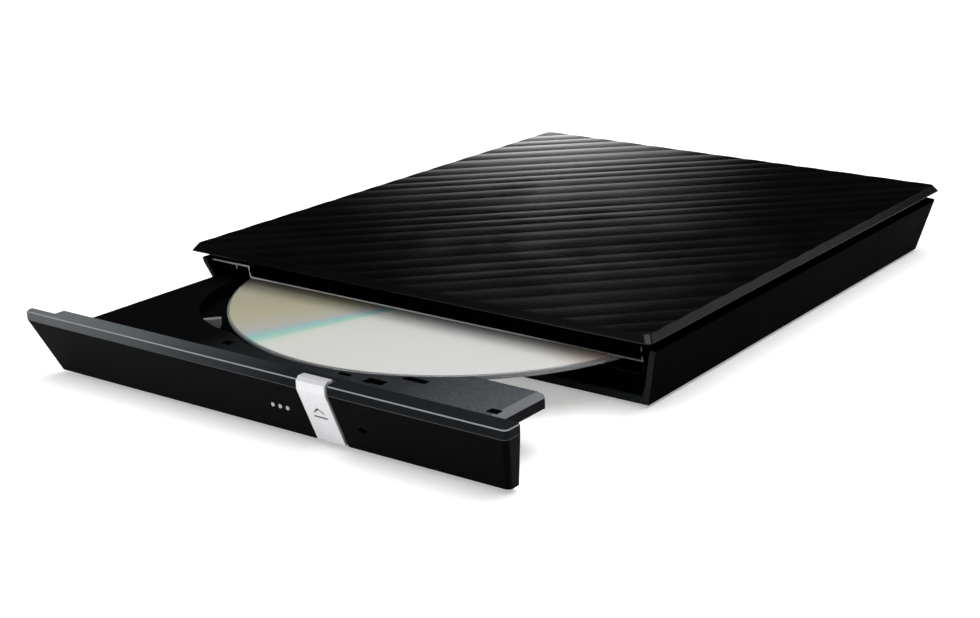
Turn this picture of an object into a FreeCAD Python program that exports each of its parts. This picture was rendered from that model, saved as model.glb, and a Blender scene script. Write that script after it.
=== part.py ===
import FreeCAD, Part
import math
import os

# External optical disc drive with a pull-out tray, drawn with the tray half out.
# Millimetres, +Z up, front of the object towards -Y.
# Everything is drawn with the tray shut, the case front edge at Y = 0 and the case bottom at
# Z = 0. Pieces that ride on the tray are then slid out, and the whole is stood on its feet.

# Case
side_room = 6.3
rear_room = 19.4
case_height = 19.4
lid_edge = 1.8
lid_bevel = 1.3
lid_corner = 1.5
ridge_widths = (7.9, 6.3, 7.0, 7.8, 9.3, 8.3)
ridge_depth = 0.15
base_height = 15.0
base_inset = 0.5
base_lean = 4.6
base_rear_inset = 0.4
base_rear_lean = 1.4
base_corner = 2.6
base_wall = 1.5
base_floor = 1.4
sill_height = 2.0
sill_depth = 4.0
mouth_setback = 3.6
mouth_lean = 4.0
foot_length = 14.0
foot_width = 7.0
foot_proud = 0.8
foot_recess = 0.5
foot_inset = 5.0
foot_rear_inset = 2.0
foot_corner = 1.2
foot_gap = 0.1
case_screw_radius = 1.0
case_screw_head = 2.6
case_screw_side = 14.4
case_screw_inset = 13.0
drive_screw_radius = 0.95
drive_screw_head = 1.9
screw_gap = 0.2
screw_sink = 1.1
post_wall = 2.2

# Recessed frame between the base and the lid
neck_wall = 1.4
neck_gap = 0.15
neck_lip = 2.5
bar_thick = 2.0
bar_notch_width = 17.2
bar_notch_height = 2.6
neck_corner = 2.0
beam_width = 6.0
beam_gap = 0.3
beam_pitch = 50.9
lid_rib = 1.0
lid_rib_height = 1.2

# Disc
disc_radius = 60.0
disc_thick = 1.2
disc_bore = 7.5
disc_x = 1.0

# Slim drive inside the case
drive_centre_x = 0.4
drive_height = 12.7
drive_bottom = 2.4
drive_setback = 7.2
sheet = 0.4
cover_sheet = 0.5
disc_above_drive_bottom = 7.4
bar_over_disc = 1.0
step_gap = 5.5
step_height = 4.8
drive_rear_gap = 0.6
drive_screw_front = 20.0
drive_screw_rear = 16.0
drive_screw_left = 6.0
drive_screw_right = 8.0
cover_screw_inset = 6.0
drive_window = 18.0
barrier_thick = 1.2

# Tray
tray_out = 50.2
bezel_to_disc = 78.1
pocket_gap = 1.5
pocket_land = 0.7
disc_over_floor = 0.8
pocket_floor = 1.4
rim_over_disc = 0.6
flap_thick = 2.9
flap_depth = 29.3
flap_inset = 4.5
flap_corner = 1.2
flap_bevel_width = 2.8
flap_bevel_drop = 0.6
tray_side_gap = 0.3
tray_rim = 1.9
deep_right = 26.0
deep_wall = 1.4
shell_gap = 0.4
notch_radius = 30.0
notch_reach = 5.0
notch_depth = 9.5
notch_angle = 224.0
notch_drop = 0.8
notch_rib_angle = 230.5
notch_rib_width = 1.5

# Bezel and its eject button
bezel_top = 16.0
bezel_band = 2.3
bezel_bottom = 0.3
bezel_thick = 4.6
bezel_side_lean = 3.7
bezel_front_lean = 5.4
bezel_corner = 1.2
bezel_gap = 0.5
bezel_core_wall = 2.2
bezel_chamfer = 0.4
bezel_end = 8.4
bezel_end_wall = 2.0
button_x = 19.9
button_width = 7.9
button_proud = 0.4
button_thick = 0.8
button_gap = 0.4
button_travel = 0.7
button_flap = 2.6
button_stem = 1.2
stem_z = 6.6
stem_gap = 0.25
switch_gap = 0.9
switch_height = 0.8
front_board_left = 6.75
front_board_right = 8.3
front_board_thick = 0.6
front_board_gap = 0.5
lamp_x = 7.9
lamp_z = 7.2
lamp_pitch = 2.15
lamp_radius = 0.5
pinhole_x = 30.6
pinhole_z = 6.4
pinhole_radius = 0.65

# Rails
rail_length = 125.0
rail_height = 2.8
rail_web = 0.5
rail_depth = 2.0
rail_gap = 0.3
rail_front = 9.0
guide_web = 0.4
tongue_height = 1.0
tongue_front = 10.0
tongue_rear = 4.0
rail_clear = 0.4
rail_side_gap = 1.0

# Spindle
hub_radius = 7.35
hub_proud = 0.7
hub_seat_radius = 8.2
window_gap = 2.6
turntable_radius = 12.5
rotor_radius = 12.5
rotor_wall = 1.0
stator_radius = 9.6
shaft_radius = 1.0
bush_radius = 2.4
motor_plate = 0.5
motor_reach = 16.0
rotor_gap = 0.7
rotor_top_wall = 0.8
shaft_foot = 0.35
stator_poles = 9
stator_slot = 1.1
stator_core = 4.6
pad_thick = 0.3
pad_gap = 0.4
table_thick = 1.0
rotor_lift = 0.7

# Traverse, rods, sled
rod_radius = 1.0
rod_spacing = 29.0
run_gap = 0.05
traverse_lift = 1.0
traverse_thick = 2.8
frame_rail = 2.0
screw_radius = 1.1
screw_reach = 19.4
stepper_radius = 2.2
stepper_length = 10.0
stepper_flat = 1.5
lens_radius_at_rest = 40.0
sled_out = 16.0
sled_front = 8.0
sled_rear = 9.0
sled_lift = 0.6
focus_gap = 0.5
sled_arm = 2.4
sled_bearing = 5.0
sled_core_half = 6.2
lens_x_half = 4.2
lens_bore = 1.9
lens_offset = 0.3
lens_below_disc = 0.9
collar_wall = 0.6
damper_radius = 2.6
damper_hole = 0.9
damper_reach_x = 19.0
damper_inset = 4.2
damper_behind_front = 9.4
damper_behind_disc = 13.0
traverse_left = 28.2
traverse_behind_disc = 19.0

# Latch and ejector
post_from_side = 17.7
post_from_rear = 5.8
post_radius = 1.5
latch_reach = 8.4
latch_from_rear = 14.3
latch_swing = 16.0
magnet_reach = 8.0
magnet_from_rear = 26.8
plunger_right = 16.5
plunger_lift = 2.1
plunger_radius = 1.3
spring_wire = 0.32
spring_turns = 9

# Boards
board_thick = 1.0
main_board_front = 12.4
main_board_rear = 40.0
main_board_gap = 1.4
bridge_thick = 1.2
bridge_z = 5.0
bridge_inset = 24.4
bridge_gap = 2.6
board_screw_inset = 3.0
board_screw_radius = 0.75
board_screw_head = 1.9
usb_left = 18.0
usb_width = 7.6
usb_height = 3.9
usb_depth = 8.8
port_gap = 0.9
connector_x = -8.0
connector_width = 34.0
connector_height = 3.4

# Sizes that follow from the ones above
pocket_radius = disc_radius + pocket_gap
drive_width = 2 * (pocket_radius + tray_rim + tray_side_gap + sheet)
lid_width = drive_width + 2 * side_room
bezel_rear = mouth_setback - bezel_gap
bezel_front = bezel_rear - bezel_thick
disc_y = bezel_front + bezel_to_disc
tray_rear = disc_y + pocket_radius + pocket_land
drive_rear = tray_rear + drive_rear_gap + sheet
lid_depth = drive_rear + rear_room
lid_bottom = case_height - lid_edge
band_z = bezel_top - bezel_band
half_top = lid_width / 2 - base_inset
half_bottom = half_top - base_lean
rear_top = lid_depth - base_rear_inset
rear_bottom = rear_top - base_rear_lean
case_screw_x = lid_width / 2 - case_screw_side
case_screw_y = rear_bottom - case_screw_inset
bar_left_x = bar_notch_width - lid_width / 2
disc_bottom = drive_bottom + disc_above_drive_bottom
disc_top = disc_bottom + disc_thick
bar_bottom = disc_top + bar_over_disc
drive_left = drive_centre_x - drive_width / 2
drive_right = drive_centre_x + drive_width / 2
drive_top = drive_bottom + drive_height
tray_left = drive_left + sheet + tray_side_gap
tray_right = drive_right - sheet - tray_side_gap
tray_top = disc_top + rim_over_disc
floor_top = disc_bottom - disc_over_floor
floor_bottom = floor_top - pocket_floor
cover_bottom = drive_bottom + sheet + shell_gap
deep_bottom = cover_bottom + sheet
step_z = drive_bottom + step_height
button_top = bezel_top + 0.5
lens_y = disc_y - lens_radius_at_rest
rod_left_x = disc_x - rod_spacing / 2
rod_right_x = disc_x + rod_spacing / 2
board_bottom = deep_bottom + 0.4
flap_bottom = tray_top - flap_thick
guide_half = rail_height / 2 + rail_gap + guide_web
rail_centre_z = flap_bottom - rail_clear - guide_half
traverse_bottom = deep_bottom + traverse_lift
traverse_top = traverse_bottom + traverse_thick
rod_z = (traverse_bottom + traverse_top) / 2
rotor_bottom = traverse_bottom + rotor_lift
rotor_top = disc_bottom - pad_thick - table_thick
sled_bottom = deep_bottom + sled_lift
sled_top = floor_bottom - shell_gap
lens_top = disc_bottom - lens_below_disc
actuator_top = lens_top - 0.6
post_y = tray_rear - post_from_rear
pivot_y = tray_rear - latch_from_rear
magnet_y = tray_rear - magnet_from_rear
plunger_z = deep_bottom + plunger_lift
plunger_rear = tray_rear - 0.3
usb_z = bridge_z + bridge_thick
bridge_front = drive_rear + bridge_gap
bridge_rear = rear_bottom - base_wall - 0.6
left_guide_x = drive_left + sheet
deep_left_x = left_guide_x + guide_web + rail_gap + rail_depth + rail_side_gap
deep_right_x = disc_x + deep_right
right_guide_x = deep_right_x + rail_depth + 2 * rail_gap + rail_web + guide_web
step_x = right_guide_x + step_gap
screw_x = disc_x + screw_reach
traverse_left_x = disc_x - traverse_left
post_x = drive_left + post_from_side
pivot_x = post_x + latch_reach
magnet_x = post_x - magnet_reach
plunger_x = disc_x + plunger_right
bridge_half = lid_width / 2 - bridge_inset
usb_x = connector_x - usb_left
front_board_x0 = lamp_x - lamp_pitch - front_board_left
front_board_x1 = button_x + front_board_right
front_y = bezel_front - button_proud - tray_out
middle_y = (front_y + lid_depth) / 2

os.makedirs("parts", exist_ok=True)


# Plain shapes
def box(x0, x1, y0, y1, z0, z1):
    return Part.makeBox(x1 - x0, y1 - y0, z1 - z0, FreeCAD.Vector(x0, y0, z0))


def rod(x, y, z0, z1, radius):
    return Part.makeCylinder(radius, z1 - z0, FreeCAD.Vector(x, y, z0), FreeCAD.Vector(0, 0, 1))


def rod_along_y(x, y0, y1, z, radius):
    return Part.makeCylinder(radius, y1 - y0, FreeCAD.Vector(x, y0, z), FreeCAD.Vector(0, 1, 0))


def ring(x, y, z0, z1, outer, inner):
    return rod(x, y, z0, z1, outer).cut(rod(x, y, z0 - 1, z1 + 1, inner))


def plate(points, z0, z1):
    corners = [FreeCAD.Vector(x, y, z0) for x, y in points]
    face = Part.Face(Part.makePolygon(corners + corners[:1]))
    return face.extrude(FreeCAD.Vector(0, 0, z1 - z0))


def side_profile(points, x0, x1):
    corners = [FreeCAD.Vector(x0, y, z) for y, z in points]
    face = Part.Face(Part.makePolygon(corners + corners[:1]))
    return face.extrude(FreeCAD.Vector(x1 - x0, 0, 0))


def front_profile(points, y0, y1):
    corners = [FreeCAD.Vector(x, y0, z) for x, z in points]
    face = Part.Face(Part.makePolygon(corners + corners[:1]))
    return face.extrude(FreeCAD.Vector(0, y1 - y0, 0))


def arc(centre_x, centre_y, z, radius, start):
    def point(angle):
        turn = math.radians(angle)
        return FreeCAD.Vector(centre_x + radius * math.cos(turn), centre_y + radius * math.sin(turn), z)
    return Part.Arc(point(start), point(start + 45), point(start + 90)).toShape()


def line(x0, y0, x1, y1, z):
    return Part.LineSegment(FreeCAD.Vector(x0, y0, z), FreeCAD.Vector(x1, y1, z)).toShape()


def rounded_outline(x0, x1, y0, y1, z, front_radius, rear_radius):
    f, r = front_radius, rear_radius
    edges = [
        arc(x0 + f, y0 + f, z, f, 180),
        line(x0 + f, y0, x1 - f, y0, z),
        arc(x1 - f, y0 + f, z, f, 270),
        line(x1, y0 + f, x1, y1 - r, z),
        arc(x1 - r, y1 - r, z, r, 0),
        line(x1 - r, y1, x0 + r, y1, z),
        arc(x0 + r, y1 - r, z, r, 90),
        line(x0, y1 - r, x0, y0 + f, z),
    ]
    return Part.Wire(edges)


def tapered(low, high):
    return Part.makeLoft([low, high], True, True)


def fuse(shapes):
    whole = shapes[0].multiFuse(shapes[1:]) if len(shapes) > 1 else shapes[0]
    return whole.removeSplitter()


# The mouth's front surface leans back below the bezel's band
def mouth_y(z):
    return mouth_setback + mouth_lean * max(0.0, band_z - z) / band_z


def bezel_back_y(z):
    return mouth_y(z) - bezel_gap


def bezel_face_y(z):
    return bezel_front + bezel_front_lean * max(0.0, band_z - z) / (band_z - bezel_bottom)


def in_front_of(y_of, low, high, x_half):
    reach = -20.0
    points = [(reach, low), (y_of(low), low), (y_of(band_z), band_z), (y_of(high), high), (reach, high)]
    return side_profile(points, -x_half, x_half)


# Case shells
def base_half(z):
    return half_bottom + (half_top - half_bottom) * z / base_height


def base_rear(z):
    return rear_bottom + (rear_top - rear_bottom) * z / base_height


def base_block(z0, z1, inset):
    radius = max(0.6, base_corner - inset)
    front = -5.0

    def outline(z):
        half = base_half(z) - inset
        return rounded_outline(-half, half, front, base_rear(z) - inset, z, radius, radius)
    return tapered(outline(z0), outline(z1))


def foot_centres():
    x = half_bottom - foot_inset - foot_length / 2
    front = mouth_y(0) + foot_inset + foot_width / 2
    rear = rear_bottom - foot_rear_inset - foot_width / 2
    return {
        "front_left_foot": (-x, front),
        "front_right_foot": (x, front),
        "rear_left_foot": (-x, rear),
        "rear_right_foot": (x, rear),
    }


def drive_screw_places():
    left, right = drive_left + drive_screw_left, drive_right - drive_screw_right
    front, rear = drive_setback + drive_screw_front, drive_rear - drive_screw_rear
    return [(left, front, drive_bottom), (left, rear, drive_bottom), (right, front, step_z), (right, rear, step_z)]


def case_screw_places():
    return [(-case_screw_x, case_screw_y), (case_screw_x, case_screw_y)]


def base_shell():
    shell = base_block(0, base_height, 0)
    shell = shell.cut(base_block(base_floor, base_height + 1, base_wall))
    sill_half = base_half(base_floor) - base_wall
    sill = box(-sill_half, sill_half, 0, mouth_y(0) + sill_depth, base_floor, sill_height)
    barrier = box(step_x + 0.4, sill_half + 1.2, drive_setback, drive_setback + barrier_thick, base_floor / 2,
                  step_z - 0.2)
    posts = [sill, barrier]
    for x, y, top in drive_screw_places():
        posts.append(rod(x, y, base_floor / 2, top, drive_screw_radius + post_wall))
    for x in board_screw_xs():
        posts.append(rod(x, bridge_rear - board_screw_inset, base_floor / 2, bridge_z, board_screw_radius + post_wall))
    shell = shell.fuse(posts)
    tools = [in_front_of(mouth_y, -1, base_height + 2, lid_width)]
    for x, y in foot_centres().values():
        half_length, half_width = foot_length / 2, foot_width / 2
        tools.append(box(x - half_length, x + half_length, y - half_width, y + half_width, -1, foot_recess))
    for x, y, top in drive_screw_places():
        tools.append(rod(x, y, -1, top + 1, drive_screw_radius + screw_gap))
        tools.append(rod(x, y, -1, screw_sink, drive_screw_head + screw_gap))
    for x, y in case_screw_places():
        tools.append(rod(x, y, -1, base_floor + 1, case_screw_radius + screw_gap))
        tools.append(rod(x, y, -1, screw_sink + 0.2, case_screw_head + screw_gap))
    for x in board_screw_xs():
        tools.append(rod(x, bridge_rear - board_screw_inset, base_floor, bridge_z + 1, board_screw_radius))
    port_half = usb_width / 2 + port_gap
    tools.append(box(usb_x - port_half, usb_x + port_half, rear_bottom - 4, rear_top + 2,
                     usb_z - port_gap, usb_z + usb_height + port_gap))
    return shell.cut(tools)


def wave_prism():
    # Convex ridges side by side, running at 45 degrees to the right and back
    across = FreeCAD.Vector(-1, 1, 0).normalize()
    along = FreeCAD.Vector(1, 1, 0).normalize()
    reach = (lid_width + 2 * lid_depth) / math.sqrt(2)
    start = -lid_width / math.sqrt(2)
    top = FreeCAD.Vector(0, 0, case_height)
    dip = FreeCAD.Vector(0, 0, ridge_depth)
    edges = []
    place = start
    count = 0
    first = across * place + top - dip
    while place < reach / 2 + ridge_widths[0]:
        width = ridge_widths[count % len(ridge_widths)]
        left = across * place + top - dip
        crest = across * (place + width / 2) + top
        right = across * (place + width) + top - dip
        edges.append(Part.Arc(left, crest, right).toShape())
        place += width
        count += 1
    last = across * place + top - dip
    under = FreeCAD.Vector(0, 0, case_height)
    edges.append(Part.LineSegment(last, last - under).toShape())
    edges.append(Part.LineSegment(last - under, first - under).toShape())
    edges.append(Part.LineSegment(first - under, first).toShape())
    face = Part.Face(Part.Wire(edges))
    face.translate(along * (-reach))
    return face.extrude(along * (2 * reach))


def top_cover():
    half = lid_width / 2
    low = rounded_outline(-half, half, 0, lid_depth, lid_bottom, lid_corner, lid_corner)
    inset = lid_bevel
    high = rounded_outline(inset - half, half - inset, inset, lid_depth - inset, case_height,
                           lid_corner, lid_corner)
    cover = tapered(low, high).common(wave_prism())
    ribs = []
    inner = neck_inner_half() - 0.1
    for side in (-1, 1):
        x0, x1 = sorted((side * inner, side * (inner - lid_rib)))
        for beam0, beam1 in rib_spans():
            ribs.append(box(x0, x1, beam0, beam1, lid_bottom - lid_rib_height, lid_bottom))
    return fuse([cover] + ribs)


def neck_outer_half():
    return base_half(base_height - neck_lip) - base_wall - neck_gap


def neck_inner_half():
    return neck_outer_half() - neck_wall


def beam_places():
    middle = (drive_setback + drive_rear) / 2
    return [middle - beam_pitch / 2, middle + beam_pitch / 2]


def rib_spans():
    stops = [bar_rear() + 6] + beam_places() + [neck_rear() - neck_wall - 12]
    clear = beam_width / 2 + 1.0
    spans = []
    for start, end in zip(stops[:-1], stops[1:]):
        spans.append((start + clear, end - clear))
    return spans


def bar_rear():
    return mouth_setback + bar_thick


def neck_rear():
    return base_rear(base_height - neck_lip) - base_wall - neck_gap


def middle_frame():
    outer, inner = neck_outer_half(), neck_inner_half()
    low = base_height - neck_lip
    rear = neck_rear()
    outline = rounded_outline(-outer, outer, mouth_setback, rear, low, neck_corner / 2, neck_corner)
    ring_block = Part.Face(outline).extrude(FreeCAD.Vector(0, 0, lid_bottom - low))
    room = box(-inner, inner, mouth_setback - 1, rear - neck_wall, low - 1, lid_bottom + 1)
    frame = ring_block.cut(room)
    notch_z = lid_bottom - bar_notch_height
    lean = bar_bottom_lean()
    bar_points = [
        (mouth_setback, lid_bottom),
        (mouth_setback, band_z),
        (mouth_setback + lean, bar_bottom),
        (bar_rear() + lean, bar_bottom),
        (bar_rear(), band_z),
        (bar_rear(), lid_bottom),
    ]
    bar = side_profile(bar_points, bar_left_x, inner)
    left_bar = box(-inner, bar_left_x, mouth_setback, bar_rear(), notch_z, lid_bottom)
    pieces = [frame, bar, left_bar]
    for y in beam_places():
        low_z = drive_top + beam_gap
        pieces.append(box(-inner, inner, y - beam_width / 2, y + beam_width / 2, low_z, lid_bottom))
    for x, y in case_screw_places():
        pieces.append(rod(x, y, base_floor, lid_bottom, case_screw_radius + post_wall))
        side = math.copysign(1, x)
        x0, x1 = sorted((x, side * inner))
        pieces.append(box(x0, x1, y - 0.8, y + 0.8, low, lid_bottom))
    whole = fuse(pieces)
    tools = [rod(x, y, base_floor - 1, base_floor + 8, case_screw_radius) for x, y in case_screw_places()]
    tools.append(in_front_of(mouth_y, low - 1, lid_bottom + 1, lid_width))
    return whole.cut(tools)


def bar_bottom_lean():
    return mouth_y(bar_bottom) - mouth_setback


def foot(x, y):
    half_length, half_width = foot_length / 2 - foot_gap, foot_width / 2 - foot_gap
    outline = rounded_outline(x - half_length, x + half_length, y - half_width, y + half_width,
                              -foot_proud, foot_corner, foot_corner)
    return Part.Face(outline).extrude(FreeCAD.Vector(0, 0, foot_proud + foot_recess))


def screw(x, y, head_z, tip_z, head_radius, shank_radius):
    # Head below, shank up, cross recess in the head
    head_high = 0.9 * head_radius / 2.0
    body = fuse([rod(x, y, head_z, head_z + head_high, head_radius),
                 rod(x, y, head_z, tip_z, shank_radius)])
    arm = head_radius * 0.55
    slot = [box(x - arm, x + arm, y - 0.2, y + 0.2, head_z - 1, head_z + head_high * 0.5),
            box(x - 0.2, x + 0.2, y - arm, y + arm, head_z - 1, head_z + head_high * 0.5)]
    return body.cut(slot)


def case_screws():
    return Part.makeCompound([screw(x, y, 0.1, base_floor + 7.5, case_screw_head,
                                     case_screw_radius)
                              for x, y in case_screw_places()])


def drive_screws():
    return Part.makeCompound([screw(x, y, 0.05, top, drive_screw_head, drive_screw_radius)
                              for x, y, top in drive_screw_places()])


# Bridge board at the rear
def board_screw_xs():
    return (-bridge_half + board_screw_inset, bridge_half - board_screw_inset)


def bridge_board():
    board = box(-bridge_half, bridge_half, bridge_front, bridge_rear, bridge_z, usb_z)
    y = bridge_rear - board_screw_inset
    holes = [rod(x, y, bridge_z - 1, usb_z + 1, board_screw_radius + screw_gap) for x in board_screw_xs()]
    return board.cut(holes)


def board_screws():
    screws = []
    for x in board_screw_xs():
        y = bridge_rear - board_screw_inset
        head = rod(x, y, usb_z, usb_z + 1.1, board_screw_head)
        shank = rod(x, y, bridge_z - 2.6, usb_z, board_screw_radius)
        slot = box(x - 1.1, x + 1.1, y - 0.2, y + 0.2, usb_z + 0.6, usb_z + 2)
        screws.append(fuse([head, shank]).cut(slot))
    return Part.makeCompound(screws)


def usb_socket():
    y1 = base_rear(usb_z) - 0.2
    y0 = y1 - usb_depth
    half = usb_width / 2
    low, high = usb_z, usb_z + usb_height
    points = [
        (usb_x - half + 0.9, low), (usb_x + half - 0.9, low), (usb_x + half, low + 1.5),
        (usb_x + half, high), (usb_x - half, high), (usb_x - half, low + 1.5),
    ]
    shell = front_profile(points, y0, y1)
    wall = 0.3
    inner = [
        (usb_x - half + 0.9 + wall / 2, low + wall), (usb_x + half - 0.9 - wall / 2, low + wall),
        (usb_x + half - wall, low + 1.5 + wall / 2), (usb_x + half - wall, high - wall),
        (usb_x - half + wall, high - wall), (usb_x - half + wall, low + 1.5 + wall / 2),
    ]
    cavity = front_profile(inner, y0 + 1.2, y1 + 1)
    tongue = box(usb_x - 2.3, usb_x + 2.3, y0 + 1.0, y1 - 1.2, low + 1.7, low + 2.5)
    return fuse([shell.cut(cavity), tongue])


def board_connector():
    half = connector_width / 2
    y0, y1 = bridge_front + 0.2, bridge_front + 5.4
    body = box(connector_x - half, connector_x + half, y0, y1, usb_z, usb_z + connector_height)
    mouth = box(connector_x - half + 1.2, connector_x + half - 1.2, y0 - 1, y0 + 3.4,
                usb_z + 0.9, usb_z + connector_height - 0.9)
    return body.cut(mouth)


def drive_connector():
    half = connector_width / 2 - 2.0
    low = usb_z + 1.1
    high = usb_z + connector_height - 1.1
    tongue = box(connector_x - half, connector_x + half, drive_rear, bridge_front + 3.2, low, high)
    back = box(connector_x - half - 1.2, connector_x + half + 1.2, drive_rear, drive_rear + 1.6,
               low - 0.8, high + 0.8)
    return fuse([tongue, back])


def bridge_chips():
    middle = (bridge_front + bridge_rear) / 2
    left = connector_x + connector_width / 2
    chips = [
        box(left + 5, left + 13, middle - 4, middle + 4, usb_z, usb_z + 1.1),
        box(left + 17, left + 22, middle - 3, middle + 1, usb_z, usb_z + 0.9),
        box(left + 24.5, left + 28, middle - 1, middle + 1, usb_z, usb_z + 0.9),
    ]
    return Part.makeCompound(chips)


def bridge_capacitors():
    middle = (bridge_front + bridge_rear) / 2
    cans = []
    for x in (usb_x - 12.0, usb_x - 7.5):
        can = rod(x, middle - 2.6, usb_z, usb_z + 4.6, 1.9)
        cans.append(can.cut(ring(x, middle - 2.6, usb_z + 0.5, usb_z + 0.9, 2.5, 1.7)))
    return Part.makeCompound(cans)


# Slim drive shell
def drive_chassis():
    floor_plate = box(drive_left, step_x, drive_setback, drive_rear, drive_bottom, drive_bottom + sheet)
    riser = box(step_x - sheet, step_x, drive_setback, drive_rear, drive_bottom, step_z + sheet)
    shelf = box(step_x - sheet, drive_right, drive_setback, drive_rear, step_z, step_z + sheet)
    top = drive_top - cover_sheet
    left = box(drive_left, drive_left + sheet, drive_setback, drive_rear, drive_bottom, top)
    right = box(drive_right - sheet, drive_right, drive_setback, drive_rear, step_z, top)
    rear_left = box(drive_left, step_x, drive_rear - sheet, drive_rear, drive_bottom, top)
    rear_right = box(step_x - sheet, drive_right, drive_rear - sheet, drive_rear, step_z, top)
    body = fuse([floor_plate, riser, shelf, left, right, rear_left, rear_right])
    tools = []
    for x, y, base in drive_screw_places():
        tools.append(rod(x, y, base - 0.5, base + sheet + 0.5, drive_screw_radius))
    half = drive_window / 2
    for x, y in ((disc_x - 44, disc_y - 31.6), (disc_x - 44, disc_y + 15.4)):
        tools.append(box(x - half, x + half, y - half, y + half, drive_bottom - 1, drive_bottom + sheet + 1))
    return body.cut(tools)


def drive_cover():
    low = drive_top - cover_sheet
    sheet_plate = box(drive_left, drive_right, drive_setback, drive_rear, low, drive_top)
    swell = ring(disc_x, disc_y, drive_top, drive_top + 0.2, 46, 42)
    return fuse([sheet_plate, swell])


def cover_screw_places():
    y0, y1 = drive_setback + cover_screw_inset, drive_rear - cover_screw_inset
    return [(drive_left, y0, 1), (drive_left, y1, 1), (drive_right, y0, -1), (drive_right, y1, -1)]


def cover_screws():
    screws = []
    for x, y, side in cover_screw_places():
        direction = FreeCAD.Vector(-side, 0, 0)
        centre = FreeCAD.Vector(x, y, drive_top - 3.0)
        screws.append(Part.makeCylinder(1.3, 0.6, centre, direction))
    return Part.makeCompound(screws)


def latch_post():
    x, y = post_x, post_y
    post = rod(x, y, drive_bottom + sheet, drive_bottom + sheet + 4.0, post_radius)
    groove = ring(x, y, drive_bottom + sheet + 1.2, drive_bottom + sheet + 3.0, post_radius + 1, post_radius - 0.3)
    return post.cut(groove)


# Rails and their guides
def channel(web_x, side, depth, web, half_height, lip, y0, y1):
    # A C section whose open side faces the given way
    x0, x1 = sorted((web_x, web_x + side * depth))
    block = box(x0, x1, y0, y1, rail_centre_z - half_height, rail_centre_z + half_height)
    cut0, cut1 = sorted((web_x + side * web, web_x + side * (depth + 1)))
    room = box(cut0, cut1, y0 - 1, y1 + 1, rail_centre_z - half_height + lip, rail_centre_z + half_height - lip)
    return block.cut(room)


def rail(web_x, side):
    bar = channel(web_x, side, rail_depth, rail_web, rail_height / 2, rail_web, rail_front, rail_front + rail_length)
    slots = []
    for share in (0.2, 0.8):
        y = rail_front + share * rail_length
        slots.append(box(web_x - 3, web_x + 3, y - 3, y + 3, rail_centre_z - 0.5, rail_centre_z + 0.5))
    return bar.cut(slots)


def guide(web_x, side, stand):
    half = guide_half
    y0, y1 = drive_setback + 1.0, drive_rear - sheet - 2.0
    track = channel(web_x, side, rail_depth - rail_gap, guide_web, half, guide_web, y0, y1)
    if not stand:
        return track
    x0, x1 = sorted((web_x, web_x + side * (rail_depth - rail_gap)))
    foot_block = box(x0, x1, y0, y1, drive_bottom + sheet, rail_centre_z - half)
    return fuse([track, foot_block])


def left_rail_x():
    return left_guide_x + guide_web + rail_gap


def right_rail_x():
    return right_guide_x - guide_web - rail_gap


# Tray moulding
def tray_outline():
    right = tray_right - flap_inset
    flap_rear = bezel_front + flap_depth
    return [
        (tray_left, -20), (right, -20), (right, flap_rear - flap_corner), (right - flap_corner, flap_rear),
        (deep_right_x, flap_rear), (deep_right_x, tray_rear), (tray_left, tray_rear),
    ]


def finger_notch():
    # A crescent outside the pocket, with a low rib across it
    turn = math.radians(notch_angle)
    low, high = floor_top - notch_drop, tray_top + 1
    offset = pocket_radius + notch_reach - notch_radius
    x = disc_x + offset * math.cos(turn)
    y = disc_y + offset * math.sin(turn)
    inner = rod(disc_x, disc_y, low - 1, high + 1, pocket_radius - notch_depth)
    half = notch_rib_width / 2
    rib = box(disc_x + pocket_radius - 0.3, disc_x + pocket_radius + notch_reach + 1, disc_y - half, disc_y + half,
              low - 1, tray_top - rim_over_disc)
    rib.rotate(FreeCAD.Vector(disc_x, disc_y, 0), FreeCAD.Vector(0, 0, 1), notch_rib_angle)
    return rod(x, y, low, high, notch_radius).cut([inner, rib])


def surface_notches():
    # Small recesses for the disc stops, placed from the pocket centre and the bezel
    low = tray_top - 1.2
    near = disc_y - pocket_radius
    return [
        box(13.0, 16.4, near - 1.5, near - 0.2, low, tray_top + 1),
        box(20.8, 26.0, near - 2.4, near + 0.4, low, tray_top + 1),
        box(27.0, 33.4, near + 3.4, near + 5.4, low, tray_top + 1),
        box(54.2, 57.0, bezel_front + 14.4, bezel_front + 16.6, low, tray_top + 1),
        box(-23.5, -20.8, near - 0.4, near + 1.6, low, tray_top + 1),
    ]


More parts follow.
